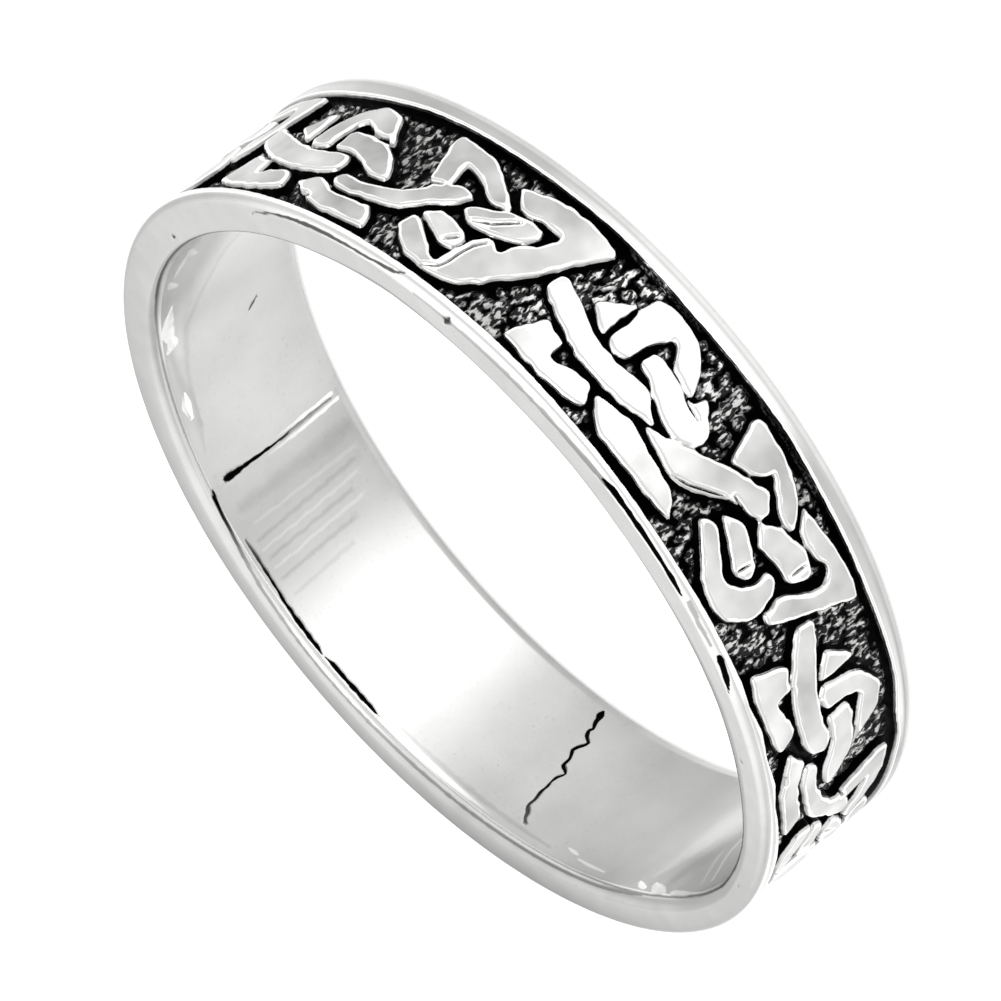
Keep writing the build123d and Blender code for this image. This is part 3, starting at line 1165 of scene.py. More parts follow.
    def crease_lines(self) -> list[tuple[np.ndarray, float]]:
        """Places every crease on the sheet.

        Returns:
            For each crease, its points at close steps and its half width.
        """
        placed = []
        low, high = self.band.knot_low, self.band.knot_high
        for repeat in self.layout.repeats():
            for crease in CREASES[repeat.form]:
                shares = np.array(crease.points, float) / 100
                along = np.radians(shares[:, 0] * repeat.pitch + repeat.start) - self.origin
                route = np.column_stack([along * self.band.strap_radius, low + shares[:, 1] * (high - low)])
                arc = arc_lengths(route)
                steps = np.linspace(0, arc[-1], max(4, round(arc[-1] / self.crease_step) + 1))
                columns = [np.interp(steps, arc, column) for column in route.T]
                placed.append((np.column_stack(columns), crease.half_width))
        return placed

    def cut_creases(self, grid: np.ndarray) -> np.ndarray:
        """Cuts the creases into the field of distances.

        Args:
            grid: Distances to the strap outlines.

        Returns:
            The distances with a narrow cut along each crease, which tapers to its ends.
        """
        for route, half_width in self.creases:
            reach = half_width + 0.2
            for index, (x, y) in enumerate(route):
                swelling = math.sin(math.pi * (index + 0.5) / len(route)) ** 0.5
                taper = self.crease_end + (1 - self.crease_end) * swelling
                columns, rows = self.grid_columns(x - reach, x + reach), self.grid_rows(y - reach, y + reach)
                heights = self.band.panel_low + rows * self.step[1]
                away = np.hypot(columns[:, None] * self.step[0] - x, heights - y)
                where = np.ix_(columns % self.counts[0], rows)
                grid[where] = np.minimum(grid[where], away - half_width * taper)
        grid[-1] = grid[0]
        return grid

    def sample(self, grid: np.ndarray, points: np.ndarray) -> np.ndarray:
        """Reads a field between its grid points.

        Args:
            grid: The field, such as the distances.
            points: Rows of (along, across).

        Returns:
            A value for each point.
        """
        u = np.clip(points[:, 0] / self.step[0], 0, self.counts[0] - 1e-6)
        v = np.clip((points[:, 1] - self.band.panel_low) / self.step[1], 0, self.counts[1] - 1e-6)
        i, j = u.astype(int), v.astype(int)
        a, b = u - i, v - j
        return (
            grid[i, j] * (1 - a) * (1 - b) + grid[i + 1, j] * a * (1 - b)
            + grid[i, j + 1] * (1 - a) * b + grid[i + 1, j + 1] * a * b
        )

    def raised(self, distance: np.ndarray, height: float, lip_width: float) -> np.ndarray:
        """Gives the height above the floor at a distance inside an edge.

        Args:
            distance: Distance from the edge, above zero on the raised side.
            height: Full height above the floor.
            lip_width: Width of the rounded edge.

        Returns:
            Heights above the panel's floor.
        """
        wall = share_of(distance, -self.wall_run, self.wall_run) * (height - self.lip_drop)
        share = 1 - share_of(distance, 0, lip_width)
        return wall + self.lip_drop * np.sqrt(1 - share ** 2)

    def burnish_and_highlight(self, distance: np.ndarray, crest: float, end: float) -> np.ndarray:
        """Gives the mark that the finish reads near an edge: black at a wall's foot, and a burnished rim that
        is also a painted highlight.

        Args:
            distance: Distance from the edge, above zero on the raised side.
            crest: Distance where the burnished rim is brightest.
            end: Distance where it ends.

        Returns:
            -1 at the foot of the wall, just above 0 at the edge, 1 on the crest and 0.1 past the end.
        """
        return np.interp(distance, (-self.wall_run, 0, crest, (crest + end) / 2, end), (-1, 0.12, 1, 0.85, 0.1))

    def gap_points(self) -> np.ndarray:
        """Finds points along the middle of the gaps that are too narrow for two full walls.

        Returns:
            Rows of (along, across).
        """
        slope = np.hypot(*np.gradient(self.distance, *self.step))
        in_gap = (self.distance < -self.gap_edge) & (self.distance > -self.wall_run)
        i, j = np.nonzero(in_gap & (slope < self.gap_slope))
        points = np.column_stack([i * self.step[0], self.band.panel_low + j * self.step[1]])
        points = off_seam(points, self.length, self.seam_margin)
        _, first = np.unique(np.floor(points / self.gap_pitch).astype(int), axis=0, return_index=True)
        return points[first]


class Skin(NamedTuple):
    """A piece of the ring's skin, with the marks that its finish reads.

    The corners are in millimetres and the triangles are rows of three indices. Each corner
    has a rim value from -1 in a recess to 1 at a burnished rim or a painted highlight, a grain
    height, a stain, and a polish level that paints light and shade into the silver's colour.
    """

    corners: np.ndarray
    triangles: np.ndarray
    rim: np.ndarray
    grain: np.ndarray
    stain: np.ndarray
    polish: np.ndarray


def noise_at(places: np.ndarray, size: float, seed: float) -> np.ndarray:
    """Reads smooth noise at many places.

    Args:
        places: Rows of three coordinates in millimetres.
        size: Size of the noise's features, in millimetres.
        seed: Moves the noise, so that two uses differ.

    Returns:
        A value between about -1 and 1 for each place.
    """
    offset = Vector((seed, 2.3 * seed, 3.7 * seed))
    return np.array([noise.noise(Vector(place) / size + offset) for place in places])


# The ring
@dataclass
class SilverRing:
    """The cast band with its rails, knotwork, side faces and bore, as one skin.

    Attributes:
        floor_spacing: Spacing of points on the stippled floor, in millimetres, as are all
            the sizes below.
        grain_size: Size of the grains on that floor.
        grain_height: Height of the grains.
        grain_margin: Bare width of floor beside the straps and rails.
        top_spacing: Spacing of points on the straps' tops.
        bore_spacing: Spacing of points in the bore, away from its near edge.
        scatter: How far loose points stray, as a share of their spacing.
        sway: How far the straps' tops rise and fall.
        slow_size: Size of the slow waves in the tops.
        fine_size: Size of the fine waves in the tops.
        wave_size: Size of the waves in the bore.
        dent_size: Size of the shallow dents in the side faces.
        knock_size: Size of the dents in the rounded edge of the bore.
        rail_lip: Width of the rounded inner edge of a rail.
        far_lean: How far the far rail's wall leans out from top to foot.
        edge_fade: Width over which a rail's painted light and shade turns into that of its outer edge.
        edge_shade: How much painted shade darkens the far outer edge below its zone.
        mark_gap: Distance that loose points in the bore keep from the marks.
        seam_step: Usual step up the seam of the outer sheet.
        bore_seam_step: Usual step up the seam of the bore's sheet.
        longest_step: Longest step along a strap's outline.
        shortest_step: Shortest step along it.
        step_turn: How far in degrees the outline may turn within one step.
        stray: How far the rails' inner edges stray from their line.
        stray_size: Size of the unevenness in those edges.
        stray_reach: Distance from them at which it ends.
        rail_dip: How unevenly the tops of the rails are worn down.
        rail_rim: Width of the burnished rim of a rail, which is also a painted highlight.
        fine_bore: Width of the bore's part with finer points, beside its near edge.
        wave_depth: Depth of the waves in the bore.
        dent_depth: Depth of the shallow dents in the side faces.
        knock_depth: Depth of the dents in the rounded edge of the bore.
        mark_fade: Width beside a surface's edge in which marks fade out.
        far_counts: Numbers of points on the far side's outer round, flat face and round
            into the bore.
        near_counts: The same for the near side.
        bore_gleam: Where the painted highlight on the bore's edge begins, is full, begins to fade
            and ends, as runs from the bore.
        bore_shade: The same for the line of painted shade before it.
        shade_turn: Angle in degrees where that painted shade is deepest.
        keen_gleam: The same as bore_gleam for the thin painted highlight on a well lit rail's
            edge, as runs from the rail.
        soft_gleam: The same for the painted highlight on a less well lit rail's edge.
    """

    band: BandSizes = field(default_factory=BandSizes)
    layout: KnotLayout = field(default_factory=KnotLayout)
    floor_spacing: float = 0.08
    grain_size: float = 0.16
    grain_height: float = 0.09
    grain_margin: float = 0.035
    top_spacing: float = 0.16
    bore_spacing: float = 0.24
    scatter: float = 0.28
    sway: float = 0.012
    slow_size: float = 1.1
    fine_size: float = 0.32
    wave_size: float = 1.3
    dent_size: float = 0.6
    knock_size: float = 0.3
    rail_lip: float = 0.045
    far_lean: float = 0.05
    edge_fade: float = 0.11
    edge_shade: float = 0.2
    mark_gap: float = 0.06
    seam_step: float = 0.09
    bore_seam_step: float = 0.3
    longest_step: float = 0.11
    shortest_step: float = 0.028
    step_turn: float = 20.0
    stray: float = 0.012
    stray_size: float = 0.12
    stray_reach: float = 0.15
    rail_dip: float = 0.004
    rail_rim: float = 0.09
    fine_bore: float = 0.75
    wave_depth: float = 0.003
    dent_depth: float = 0.005
    knock_depth: float = 0.003
    mark_fade: float = 0.03
    far_counts: tuple[int, int, int] = (8, 6, 8)
    near_counts: tuple[int, int, int] = (13, 9, 17)
    bore_gleam: tuple[float, float, float, float] = (-0.2, -0.13, -0.03, 0.0)
    bore_shade: tuple[float, float, float, float] = (-0.52, -0.45, -0.2, -0.13)
    shade_turn: float = -75.0
    keen_gleam: tuple[float, float, float, float] = (0.0, 0.03, 0.09, 0.16)
    soft_gleam: tuple[float, float, float, float] = (0.04, 0.08, 0.13, 0.18)

    def build(self) -> bpy.types.Object:
        """Builds the ring's skin as one closed mesh.

        Returns:
            The ring as a new object.
        """
        self.relief = KnotRelief(self.band, self.layout)
        parts = [self.outer_skin(), self.bore_skin(), self.side_skin(False), self.side_skin(True)]
        mesh = bpy.data.meshes.new("cast_ring")
        starts = np.cumsum([0] + [len(part.corners) for part in parts])
        mesh.from_pydata(
            (np.vstack([part.corners for part in parts]) * MM).tolist(), [],
            np.vstack([part.triangles + start for part, start in zip(parts, starts)]).tolist(),
        )
        for name in ("rim", "grain", "stain", "polish"):
            layer = mesh.attributes.new(name, "FLOAT", "POINT")
            values = np.concatenate([getattr(part, name) for part in parts])
            layer.data.foreach_set("value", values.astype(np.float32))
        shape = bmesh.new()
        shape.from_mesh(mesh)
        bmesh.ops.remove_doubles(shape, verts=shape.verts, dist=0.0005 * MM)
        bmesh.ops.dissolve_degenerate(shape, edges=shape.edges, dist=0.0002 * MM)
        open_edges = sum(1 for edge in shape.edges if len(edge.link_faces) != 2)
        log.info("ring skin: %d faces, %d open edges", len(shape.faces), open_edges)
        shape.to_mesh(mesh)
        shape.free()
        mesh.shade_smooth()
        return in_scene("cast_ring", mesh)

    def outer_skin(self) -> Skin:
        """Builds the outside: both rails and the panel with its straps.

        Returns:
            The outer skin.
        """
        band, relief, lip = self.band, self.relief, self.rail_lip
        low, high = band.edge_round, band.width - band.edge_round
        far, near = band.panel_low, band.panel_high
        sheet = Sheet(relief.length, low, high, band.columns, self.seam_step)
        for height in (
            low + 0.05, low + self.edge_fade, far - lip * 2, far - lip, far - lip / 3, far,
            far + self.far_lean * 0.5, far + self.far_lean,
            near - relief.wall_run, near, near + lip / 3, near + lip,
        ):
            sheet.add_row(height)
        for level in (-relief.wall_run, 0.0, relief.lip_width / 3, relief.lip_width):
            for line in contour_lines(relief.distance, level, relief.step, far):
                thinned = thin_line(line, self.longest_step, math.radians(self.step_turn), self.shortest_step)
                if thinned is not None and len(thinned.points) > 3:
                    sheet.add_line(thinned)
        for route, _ in relief.creases:
            inner = route[1:-1].copy()
            inner[:, 0] %= relief.length
            sheet.add_points(inner)
        sheet.add_points(relief.gap_points())
        sheet.add_points(self.fill_points())
        return self.wrap_outside(*sheet.triangles())

    def fill_points(self) -> np.ndarray:
        """Scatters points over the straps' tops and the stippled floor.

        Returns:
            Rows of (along, across).
        """
        band, relief, margin = self.band, self.relief, self.grain_margin
        scatter = np.random.default_rng(7)
        kept = []
        for spacing, on_top in ((self.top_spacing, True), (self.floor_spacing, False)):
            rise = spacing * math.sqrt(3) / 2
            rows, columns = int(relief.across / rise), int(relief.length / spacing)
            grid = staggered(columns, rows, relief.length, band.panel_low, rise)
            grid += scatter.uniform(-self.scatter, self.scatter, grid.shape) * spacing
            grid = off_seam(grid, relief.length, relief.seam_margin)
            distance = relief.sample(relief.distance, grid)
            low, high = band.panel_low + self.far_lean + margin, band.panel_high - relief.wall_run - margin
            if on_top:
                wanted = distance > relief.lip_width + margin + 0.02
            else:
                wanted = (distance < -relief.wall_run - margin) & (grid[:, 1] > low) & (grid[:, 1] < high)
            kept.append(grid[wanted])
            log.info("fill points at %.3f mm: %d", spacing, len(kept[-1]))
        return np.vstack(kept)

    def wrap_outside(self, points: np.ndarray, triangles: np.ndarray) -> Skin:
        """Wraps the outer sheet round the band and raises its relief.

        Args:
            points: Rows of (along, across).
            triangles: Rows of three indices.

        Returns:
            The outer skin.
        """
        band, relief = self.band, self.relief
        angle, height = relief.origin + points[:, 0] / relief.length * FULL_TURN, points[:, 1]
        places = on_band(11.0, angle, height)
        in_panel = (height > band.panel_low) & (height < band.panel_high)
        inside = relief.sample(relief.distance, points)
        strap_height = band.strap_radius - band.floor_radius
        straps = np.where(in_panel, relief.raised(inside, strap_height, relief.lip_width), 0)
        to_far = band.panel_low - height
        to_far = np.where(to_far < 0, to_far * relief.wall_run / self.far_lean, to_far)
        to_rail = np.maximum(to_far, height - band.panel_high)
        rails = relief.raised(to_rail, band.rail_radius - band.floor_radius, self.rail_lip)
        clear = np.minimum(-inside, -to_rail) - relief.wall_run
        open_floor = share_of(clear, self.grain_margin, 0.04) * in_panel
        open_floor *= relief.sample(relief.openness, points)
        grain = np.clip(noise_at(places * [1, 1, 0.6], self.grain_size, 0) * 2.2 + 0.4, 0, 1) * open_floor
        slow, fine = noise_at(places, self.slow_size, 1), noise_at(places, self.fine_size, 2)
        lift = np.maximum(straps, rails) + grain * self.grain_height
        lift += share_of(straps, 0.2, 0.1) * in_panel * (slow + fine * 0.45) * self.sway
        lift += share_of(rails, 0.25, 0.1) * np.minimum(0, fine * self.rail_dip - self.rail_dip / 2)
        low, high = band.edge_round, band.width - band.edge_round
        edge = (height <= low + 1e-6) | (height >= high - 1e-6)
        radius = np.where(edge, band.rail_radius, np.minimum(band.floor_radius + lift, band.rail_radius))
        moved = height + rail_shift(angle, height, band, band.panel_low + self.far_lean)
        unsteady = (fine + noise_at(places, self.stray_size, 4)) * self.stray * ~edge
        moved += share_of(np.abs(to_rail), self.stray_reach, -self.stray_reach) * unsteady
        # Burnished rims on straps and rails, which are also painted highlights, with black at the walls' feet
        strap_rim = relief.burnish_and_highlight(inside, relief.lip_width / 3, relief.lip_width)
        rail_rim = relief.burnish_and_highlight(to_rail, self.rail_lip / 3, self.rail_rim)
        rim = np.where(in_panel, np.maximum(strap_rim, rail_rim), rail_rim)
        from_wall = np.abs(height - band.panel_low - self.far_lean * 0.5)
        worn = share_of(from_wall, self.far_lean * 0.4, -self.far_lean * 0.4)
        worn *= read_round(WALL_WEAR, "share", angle)
        # Painted light and shade on the straps' tops, with slow and fine random changes of tone
        top_painted_light = painted_light_level(Zone.STRAPS, angle) + slow * 0.3 + fine * 0.12
        polish = np.where(in_panel, top_painted_light, self.rail_painted_light(angle, height))
        corners = on_band(radius, angle, moved)
        return Skin(corners, triangles, rim, np.maximum(grain, worn), np.zeros(len(corners)), polish)

    def rail_painted_light(self, angle: np.ndarray, height: np.ndarray) -> np.ndarray:
        """Gives the painted light and shade of both rails, with painted shade on the far one's outer edge.

        Args:
            angle: Angles about the finger axis, in radians.
            height: Heights on the band.

        Returns:
            A polish level for each point.
        """
        edge = painted_light_level(Zone.FAR_EDGE, angle) - self.edge_shade
        past_edge = share_of(height, self.band.edge_round, self.edge_fade)
        far = edge + (painted_light_level(Zone.FAR_RAIL, angle) - edge) * past_edge
        return np.where(height > self.band.width / 2, painted_light_level(Zone.NEAR_RAIL, angle), far)

    def bore_skin(self) -> Skin:
        """Builds the inside of the band with its two joins.

        Returns:
            The bore's skin.
        """
        band = self.band
        length = FULL_TURN * band.bore_radius
        low, high = band.bore_round, band.width - band.bore_round
        sheet = Sheet(length, low, high, band.columns, self.bore_seam_step)
        taken = []
        for line in MarkField().lines():
            height = high - (line[:, 1] - band.bore_run)
            along = ((line[:, 0] - self.relief.origin) % FULL_TURN) / FULL_TURN * length
            inside = (height < high - 0.03) & (height > low + 0.03) & (along > 0.1) & (along < length - 0.1)
            rows = np.column_stack([along, height])[inside]
            breaks = np.flatnonzero(np.hypot(*np.diff(rows, axis=0).T) > 0.3) + 1
            for part in np.split(rows, breaks):
                if len(part) > 2:
                    sheet.add_line(Line(part, False))
                    taken.append(part)
        near_marks = np.vstack(taken)
        close = high - self.fine_bore
        for spacing, bottom, top in ((self.bore_spacing, low, close), (self.bore_spacing / 2, close, high)):
            rows, columns = int((top - bottom) / spacing), int(length / spacing)
            grid = off_seam(staggered(columns, rows, length, bottom, (top - bottom) / rows), length, 0.05)
            clear = np.array([np.hypot(*(near_marks - point).T).min() for point in grid])
            sheet.add_points(grid[clear > self.mark_gap])
        points, triangles = sheet.triangles()
        angle, height = self.relief.origin + points[:, 0] / length * FULL_TURN, points[:, 1]
        places = on_band(10.0, angle, height)
        wave = noise_at(places * [1, 1, 0.4], self.wave_size, 3)
        knocks = noise_at(places, 0.35, 8) * share_of(height, high - 0.8, 0.4)
        inset = np.minimum(height - low, high - height)
        effect = MarkField().read(angle, band.run_of_height(height))
        uneven = wave * self.wave_depth + knocks * 0.002
        radius = band.bore_radius + uneven * share_of(inset, 0, 0.3) ** 2
        radius += effect.depth * share_of(inset, 0, self.mark_fade)
        opening = share_of(height, high - FLARE_DEPTH, FLARE_DEPTH)
        radius += read_round(EDGE_SHAPES, "flare", angle) * opening ** 2 * (3 - 2 * opening)
        # Painted light and shade in the bore, with the marks' painted light and shade and a little random tone
        # from the waves
        polish = painted_light_level(Zone.BORE, angle) + wave * 0.06 + effect.shade
        corners, grain = on_band(radius, angle, height), np.zeros(len(points))
        # The marks' painted highlights go into the rim attribute
        return Skin(corners, triangles[:, ::-1], effect.bright, grain, effect.dark, polish)

    def side_profile(self, near: bool) -> np.ndarray:
        """Gives one side's section: the outer round, the flat face and the round into the bore.

        Args:
            near: True for the side away from the surface that the ring lies on.

        Returns:
            Rows of (radius, depth below the face, run along the surface), from rail to bore.
        """
        band = self.band
        on_outer, on_flat, on_inner = self.near_counts if near else self.far_counts
        outer_turn, inner_turn = np.linspace(0, math.pi / 2, on_outer), np.linspace(0, math.pi / 2, on_inner)
        outer = np.column_stack([
            band.rail_radius - band.edge_round * (1 - np.cos(outer_turn)),
            band.edge_round * (1 - np.sin(outer_turn)), band.edge_round * outer_turn,
        ])
        inner = np.column_stack([
            band.bore_radius + band.bore_round * (1 - np.sin(inner_turn)),
            band.bore_round * (1 - np.cos(inner_turn)), band.flat_end + band.bore_round * inner_turn,
        ])
        steps = np.linspace(0, 1, on_flat)[1:-1, None]
        return np.vstack([outer, outer[-1] + (inner[0] - outer[-1]) * steps, inner])

    def side_skin(self, near: bool) -> Skin:
        """Builds one side face with the round of its outer edge and of the bore's edge.

        Args:
            near: True for the side away from the surface that the ring lies on.

        Returns:
            The side's skin.
        """
        band, profile = self.band, self.side_profile(near)
        rows, columns = len(profile), band.columns
        around = np.tile(self.relief.origin + np.arange(columns) / columns * FULL_TURN, rows)
        radius, height, run = np.repeat(profile, columns, axis=0).T
        places = on_band(radius, around, height + 50 * near)
        dents, knocks = noise_at(places, self.dent_size, 5), noise_at(places, self.knock_size, 6)
        inset = np.minimum(run, band.bore_run - run)
        knocks *= share_of(run, band.flat_end, 0.1)
        sink = np.maximum(0, dents * self.dent_depth + knocks * self.knock_depth)
        sink *= share_of(inset, 0, 0.25) ** 2
        effect = MarkField().read(around, run) if near else MarkEffect(*np.zeros((4, len(run))))
        sink += effect.depth * share_of(inset, 0, self.mark_fade)
        outwards = (1 - share_of(run, 0, band.flat_start)) * math.pi / 2
        inwards = share_of(run, band.flat_end, band.bore_run - band.flat_end) * math.pi / 2
        if near:
            spread, flare = (read_round(EDGE_SHAPES, column, around) for column in ("spread", "flare"))
            wider = (spread - 1) * band.bore_round * (1 - np.sin(inwards))
            radius = radius + (wider + flare) * share_of(run, band.flat_start, band.flat_end - band.flat_start)
        radius = radius + sink * (np.sin(inwards) - np.sin(outwards))
        height = np.maximum(height + sink * np.cos(outwards) * np.cos(inwards), 0)
        corners = on_band(radius, around, band.width - height if near else height)
        j, i = np.divmod(np.arange((rows - 1) * columns), columns)
        a, b = j * columns + i, j * columns + (i + 1) % columns
        quads = np.column_stack([a, b, b + columns, a + columns])[:, ::1 if near else -1]
        faces = np.vstack([quads[:, [0, 1, 2]], quads[:, [0, 2, 3]]])
        # Painted light and shade over the side, with random tone from the dents and the marks' painted light
        # and shade
        polish = self.side_painted_light(near, around, run) + dents * 0.05 + effect.shade
        # The marks' painted highlights go into the rim attribute
        return Skin(corners, faces, effect.bright, np.zeros(len(run)), effect.dark, polish)

    def side_painted_light(self, near: bool, angle: np.ndarray, run: np.ndarray) -> np.ndarray:
        """Gives the painted light and shade over one side, before its dents and marks.

        Args:
            near: True for the side away from the surface that the ring lies on.
            angle: Angles about the finger axis, in radians.
            run: Runs along the surface, from the rail's edge to the bore.

        Returns:
            A polish level for each point.
        """
        band = self.band
        outside, inside = painted_light_level(Zone.SIDE_OUTER, angle), painted_light_level(Zone.SIDE_INNER, angle)
        face = outside + (inside - outside) * share_of(run, band.flat_start, band.flat_end - band.flat_start)
        rail, edge = painted_light_level(Zone.NEAR_RAIL, angle), painted_light_level(Zone.FAR_EDGE, angle)
        if near:
            edge = rail + (painted_light_level(Zone.NEAR_EDGE, angle) - rail) * share_of(run, 0, self.edge_fade)
        else:
            # Painted shade on the far bore edge's round, next to the floor
            face += (painted_light_level(Zone.FAR_BORE_EDGE, angle) - face) * share_of(run, band.flat_end, 0.1)
        polish = face + (edge - face) * share_of(run, band.flat_start * (0.95 if near else 1.0), -0.1)
        polish += (painted_light_level(Zone.BORE, angle) - face) * share_of(run, band.bore_run - 0.04, 0.04)
        if not near:
            # Painted shade along the far side's outer edge, next to the floor
            return polish - self.edge_shade * share_of(run, 0.05, -0.05)
        # Painted highlight: a light line on the bore's edge, with a line of painted shade before it, deepest at
        # the front
        to_bore = run - band.bore_run
        front = np.clip(np.cos(angle - math.radians(self.shade_turn)), 0, 1)
        polish += 0.5 * plateau(to_bore, *self.bore_gleam)
        polish -= (0.22 + 0.3 * front) * plateau(to_bore, *self.bore_shade)
        # A thin painted highlight follows the rail's edge, and lies closer to the rail where the rail is
        # painted lighter
        keen = share_of(rail, 0.5, 0.5)
        polish += 0.3 * plateau(run, *self.keen_gleam) * keen
        return polish + 0.25 * plateau(run, *self.soft_gleam) * (1 - keen)

    def dress(self, ring: bpy.types.Object) -> None:
        """Gives the ring its finish and its place in the frame.

        Args:
            ring: The ring's object.
        """
        ring.data.materials.append(CastSilver().material())
        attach(ring, "root")
        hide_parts("ring_band")


# Finishes
@dataclass(frozen=True)
class CastSilver:
    """Sterling silver, lost-wax cast, polished on its tops and oxidised black in its recesses.

    The polish gives tops that mirror the studio softly. Their brightness is also painted light and
    shade: a polish level mixes shaded and lit copies of the silver. The oxide is left only
    where a polishing wheel can't reach, so recesses read as matt black. The sizes of the
    haze, the specks and the grit are in millimetres.
    """

    polish: float = 0.2
    oxide_roughness: float = 0.55
    speck_size: float = 0.092
    haze_size: float = 1.4
    grit_size: float = 0.09

    def material(self) -> bpy.types.Material:
        """Makes the node material.

        Returns:
            The finished material.
        """
        made = bpy.data.materials.new("cast_polished_oxidised_sterling_silver")
        tree = empty_tree(made)
        place = add_node(tree, "ShaderNodeTexCoord").outputs["Object"]
        drawn = add_node(tree, "ShaderNodeMapping", {}, {"Scale": (1.0, 1.0, 0.45)}, {"Vector": place})
        haze, fine, speck = (
            add_node(tree, NOISE, {}, {"Scale": 1 / (size * MM), "Detail": detail}, {"Vector": source})
            for size, detail, source in (
                (self.haze_size, 4.0, place), (self.grit_size, 3.0, place), (self.speck_size, 1.0, drawn),
            )
        )
        # The polish attribute holds painted light and shade, and the rim attribute burnished rims and painted
        # highlights
        rim, grain, stain, painted_sheen = (
            add_node(tree, "ShaderNodeAttribute", {"attribute_name": name}).outputs["Fac"]
            for name in ("rim", "grain", "stain", "polish")
        )
        # Black lies in the recesses, but for specks on the stippled floor, and in deep marks
        ragged = add_node(tree, MATH, ADD_SHARE, {1: 0.16}, {0: fine, 2: rim})
        recess = add_node(tree, RANGE, SMOOTH, {"From Min": 0.07, "From Max": -0.07}, {"Value": ragged})
        dab = add_node(tree, RANGE, {}, {"From Min": 0.48, "From Max": 0.58, "To Min": 0.04}, {"Value": speck})
        tip = add_node(tree, RANGE, {}, {"From Min": 0.05, "From Max": 0.5}, {"Value": grain})
        worn = add_node(tree, MATH, {"operation": "MULTIPLY"}, links={0: dab, 1: tip})
        kept = add_node(tree, MATH, ADD_SHARE, {1: -0.92, 2: 1.0}, {0: worn})
        black = add_node(tree, MATH, {"operation": "MULTIPLY"}, links={0: recess, 1: kept})
        marks = add_node(tree, RANGE, SMOOTH, {"From Min": 0.35, "From Max": 0.75}, {"Value": stain})
        oxide = add_node(tree, MATH, {"operation": "MAXIMUM"}, links={0: black, 1: marks})
        # Painted light and shade: brightness follows the polish level with a slow haze, and is full on the
        # burnished rims and painted highlights
        rim_and_highlight = add_node(tree, RANGE, SMOOTH, {"From Min": 0.1, "From Max": 0.6}, {"Value": rim})
        hazed = add_node(tree, MATH, ADD_SHARE, {1: 0.16}, {0: haze, 2: painted_sheen})
        centred = add_node(tree, MATH, {"operation": "SUBTRACT"}, {1: 0.08}, {0: hazed})
        brightness = add_node(
            tree, MATH, {"operation": "MAXIMUM", "use_clamp": True}, links={0: centred, 1: rim_and_highlight},
        )
        # The inputs 6 and 7 of a colour mix are its two colours, and its output 2 is the mixed one
        tones = {6: linear(Tint.SILVER_SHADED), 7: linear(Tint.SILVER_LIT)}
        silver = add_node(tree, MIX, {"data_type": "RGBA"}, tones, {0: brightness}).outputs[2]
        colour = add_node(tree, MIX, {"data_type": "RGBA"}, {7: linear(Tint.OXIDE)}, {0: oxide, 6: silver})
        rough = add_node(
            tree, RANGE, {}, {"To Min": self.polish, "To Max": self.oxide_roughness}, {"Value": oxide},
        )
        bump = add_node(tree, "ShaderNodeBump", {}, {"Strength": 0.05, "Distance": 0.01 * MM}, {"Height": fine})
        shader = add_node(
            tree, "ShaderNodeBsdfPrincipled", {}, {"Metallic": 1.0},
            {"Base Color": colour.outputs[2], "Roughness": rough, "Normal": bump},
        )
        add_node(tree, "ShaderNodeOutputMaterial", links={"Surface": shader})
        return made


@dataclass(frozen=True)
class MattPaper:
    """White background paper on a light table, matt, which shows only soft shadows."""

    roughness: float = 0.9
    glow: float = 0.5

    def material(self) -> bpy.types.Material:
        """Makes the node material.

        Returns:
            The finished material.
        """
        made = bpy.data.materials.new("matt_white_background_paper")
        tree = empty_tree(made)
        shader = add_node(tree, "ShaderNodeBsdfPrincipled", {}, {
            "Base Color": linear(Tint.PAPER), "Roughness": self.roughness, "Specular IOR Level": 0.0,
            "Emission Color": linear(Tint.STUDIO_WHITE), "Emission Strength": self.glow,
        })
        add_node(tree, "ShaderNodeOutputMaterial", links={"Surface": shader})
        return made


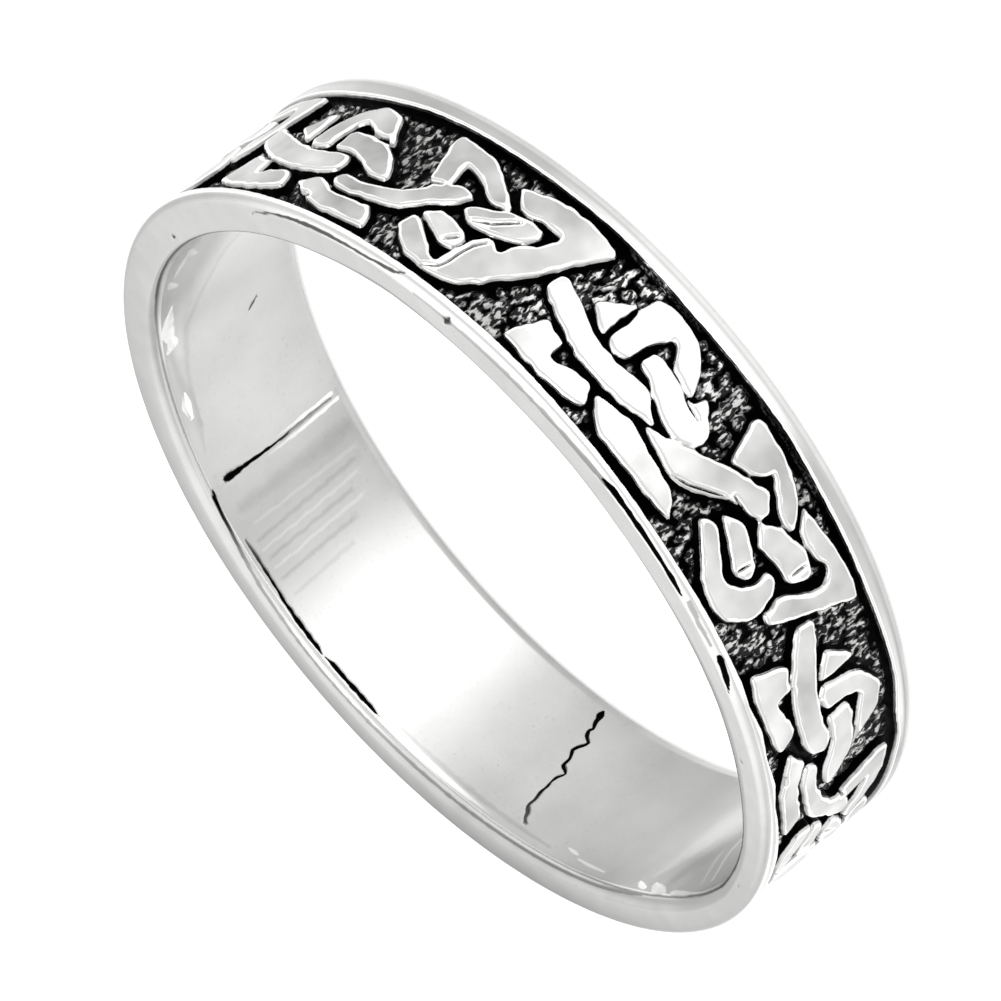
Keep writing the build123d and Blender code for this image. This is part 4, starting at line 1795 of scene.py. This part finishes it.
# Studio and camera
@dataclass
class Studio:
    """A white floor under a soft tent of light, with one softbox at the front.

    The floor's side is in metres, and so is the height of the ring's middle, which the
    softbox faces. The tent's two strengths are at its foot and overhead.
    """

    floor_size: float = 1.6
    tent_low: float = 0.76
    tent_high: float = 1.36
    aim_height: float = 0.0025

    def build(self) -> None:
        """Builds the floor, the tent and the softbox."""
        half = self.floor_size / 2
        mesh = bpy.data.meshes.new("floor")
        corners = [(-half, -half, 0), (half, -half, 0), (half, half, 0), (-half, half, 0)]
        mesh.from_pydata(corners, [], [(0, 1, 2, 3)])
        mesh.materials.append(MattPaper().material())
        in_scene("floor", mesh)
        world = bpy.data.worlds.new("light_tent")
        tree = empty_tree(world)
        direction = add_node(tree, "ShaderNodeTexCoord").outputs["Generated"]
        split = add_node(tree, "ShaderNodeSeparateXYZ", links={0: direction})
        rise = add_node(
            tree, RANGE, SMOOTH,
            {"From Min": 0.3, "From Max": 0.85, "To Min": self.tent_low, "To Max": self.tent_high},
            {"Value": split.outputs[2]},
        )
        white = {"Color": linear(Tint.STUDIO_WHITE)}
        light = add_node(tree, "ShaderNodeBackground", {}, white, {"Strength": rise})
        add_node(tree, "ShaderNodeOutputWorld", links={"Surface": light})
        bpy.context.scene.world = world
        self.add_softbox("front_softbox", place=(0.02, -0.25, 0.28), size=0.16, power=0.25)

    def add_softbox(self, name: str, place: tuple[float, float, float], size: float, power: float) -> None:
        """Adds a square softbox that looks at the ring.

        Args:
            name: Name of the softbox.
            place: Where it hangs, in metres.
            size: Its side, in metres.
            power: Its power, in watts.
        """
        data = bpy.data.lights.new(name, "AREA")
        data.shape, data.size, data.energy = "SQUARE", size, power
        softbox = in_scene(name, data)
        softbox.location = place
        middle = Vector((0, 0, self.aim_height))
        softbox.rotation_euler = (middle - Vector(place)).to_track_quat("-Z", "Y").to_euler()


@dataclass
class ProductCamera:
    """A long lens that looks at the ring as the photograph does.

    Attributes:
        elevation: Angle above the ring's side face, in degrees.
        roll: Turn of the picture about the line of sight, in degrees.
        distance: From the ring's middle, in millimetres.
        shift_right: Sideways move of the camera, in millimetres.
        shift_up: Upward move of the camera, in millimetres.
        focal_pixels: Focal length in pixels of the picture.
        picture_width: Width of the picture, in pixels.
        sensor_width: Width of the sensor, in millimetres.
    """

    elevation: float = 23.6398
    roll: float = 129.6511
    distance: float = 191.0054
    shift_right: float = 0.19423
    shift_up: float = -0.26636
    focal_pixels: float = 7857.566
    picture_width: int = 1001
    sensor_width: float = 36.0

    def build(self, band: BandSizes) -> None:
        """Builds the camera and makes it the scene's own.

        Args:
            band: Sizes of the band, for the height of its middle.
        """
        data = bpy.data.cameras.new("product_camera")
        data.sensor_width = self.sensor_width
        data.lens = self.sensor_width * self.focal_pixels / self.picture_width
        data.clip_start, data.clip_end = 0.01, 10
        lift, turn = math.radians(self.elevation), math.radians(self.roll)
        back = Vector((0, -math.cos(lift), math.sin(lift)))
        level = Vector((1, 0, 0))
        rise = Vector((0, math.sin(lift), math.cos(lift)))
        right = math.cos(turn) * level - math.sin(turn) * rise
        up = math.sin(turn) * level + math.cos(turn) * rise
        middle = Vector((0, 0, band.width / 2))
        spot = middle + back * self.distance - right * self.shift_right - up * self.shift_up
        camera = in_scene("product_camera", data)
        axes = Matrix((right, up, back)).transposed().to_4x4()
        camera.matrix_world = Matrix.Translation(spot * MM) @ axes
        bpy.context.scene.camera = camera


def main() -> None:
    """Builds the ring, the studio and the camera in order."""
    logging.basicConfig(level=logging.INFO, format="%(name)s: %(message)s")
    maker = SilverRing()
    ring = maker.build()
    maker.dress(ring)
    log.info("ring built: %d faces", len(ring.data.polygons))
    Studio().build()
    log.info("studio built")
    ProductCamera().build(maker.band)
    log.info("camera placed")
    bpy.context.scene.view_settings.view_transform = "Standard"


if __name__ == "__main__":
    main()
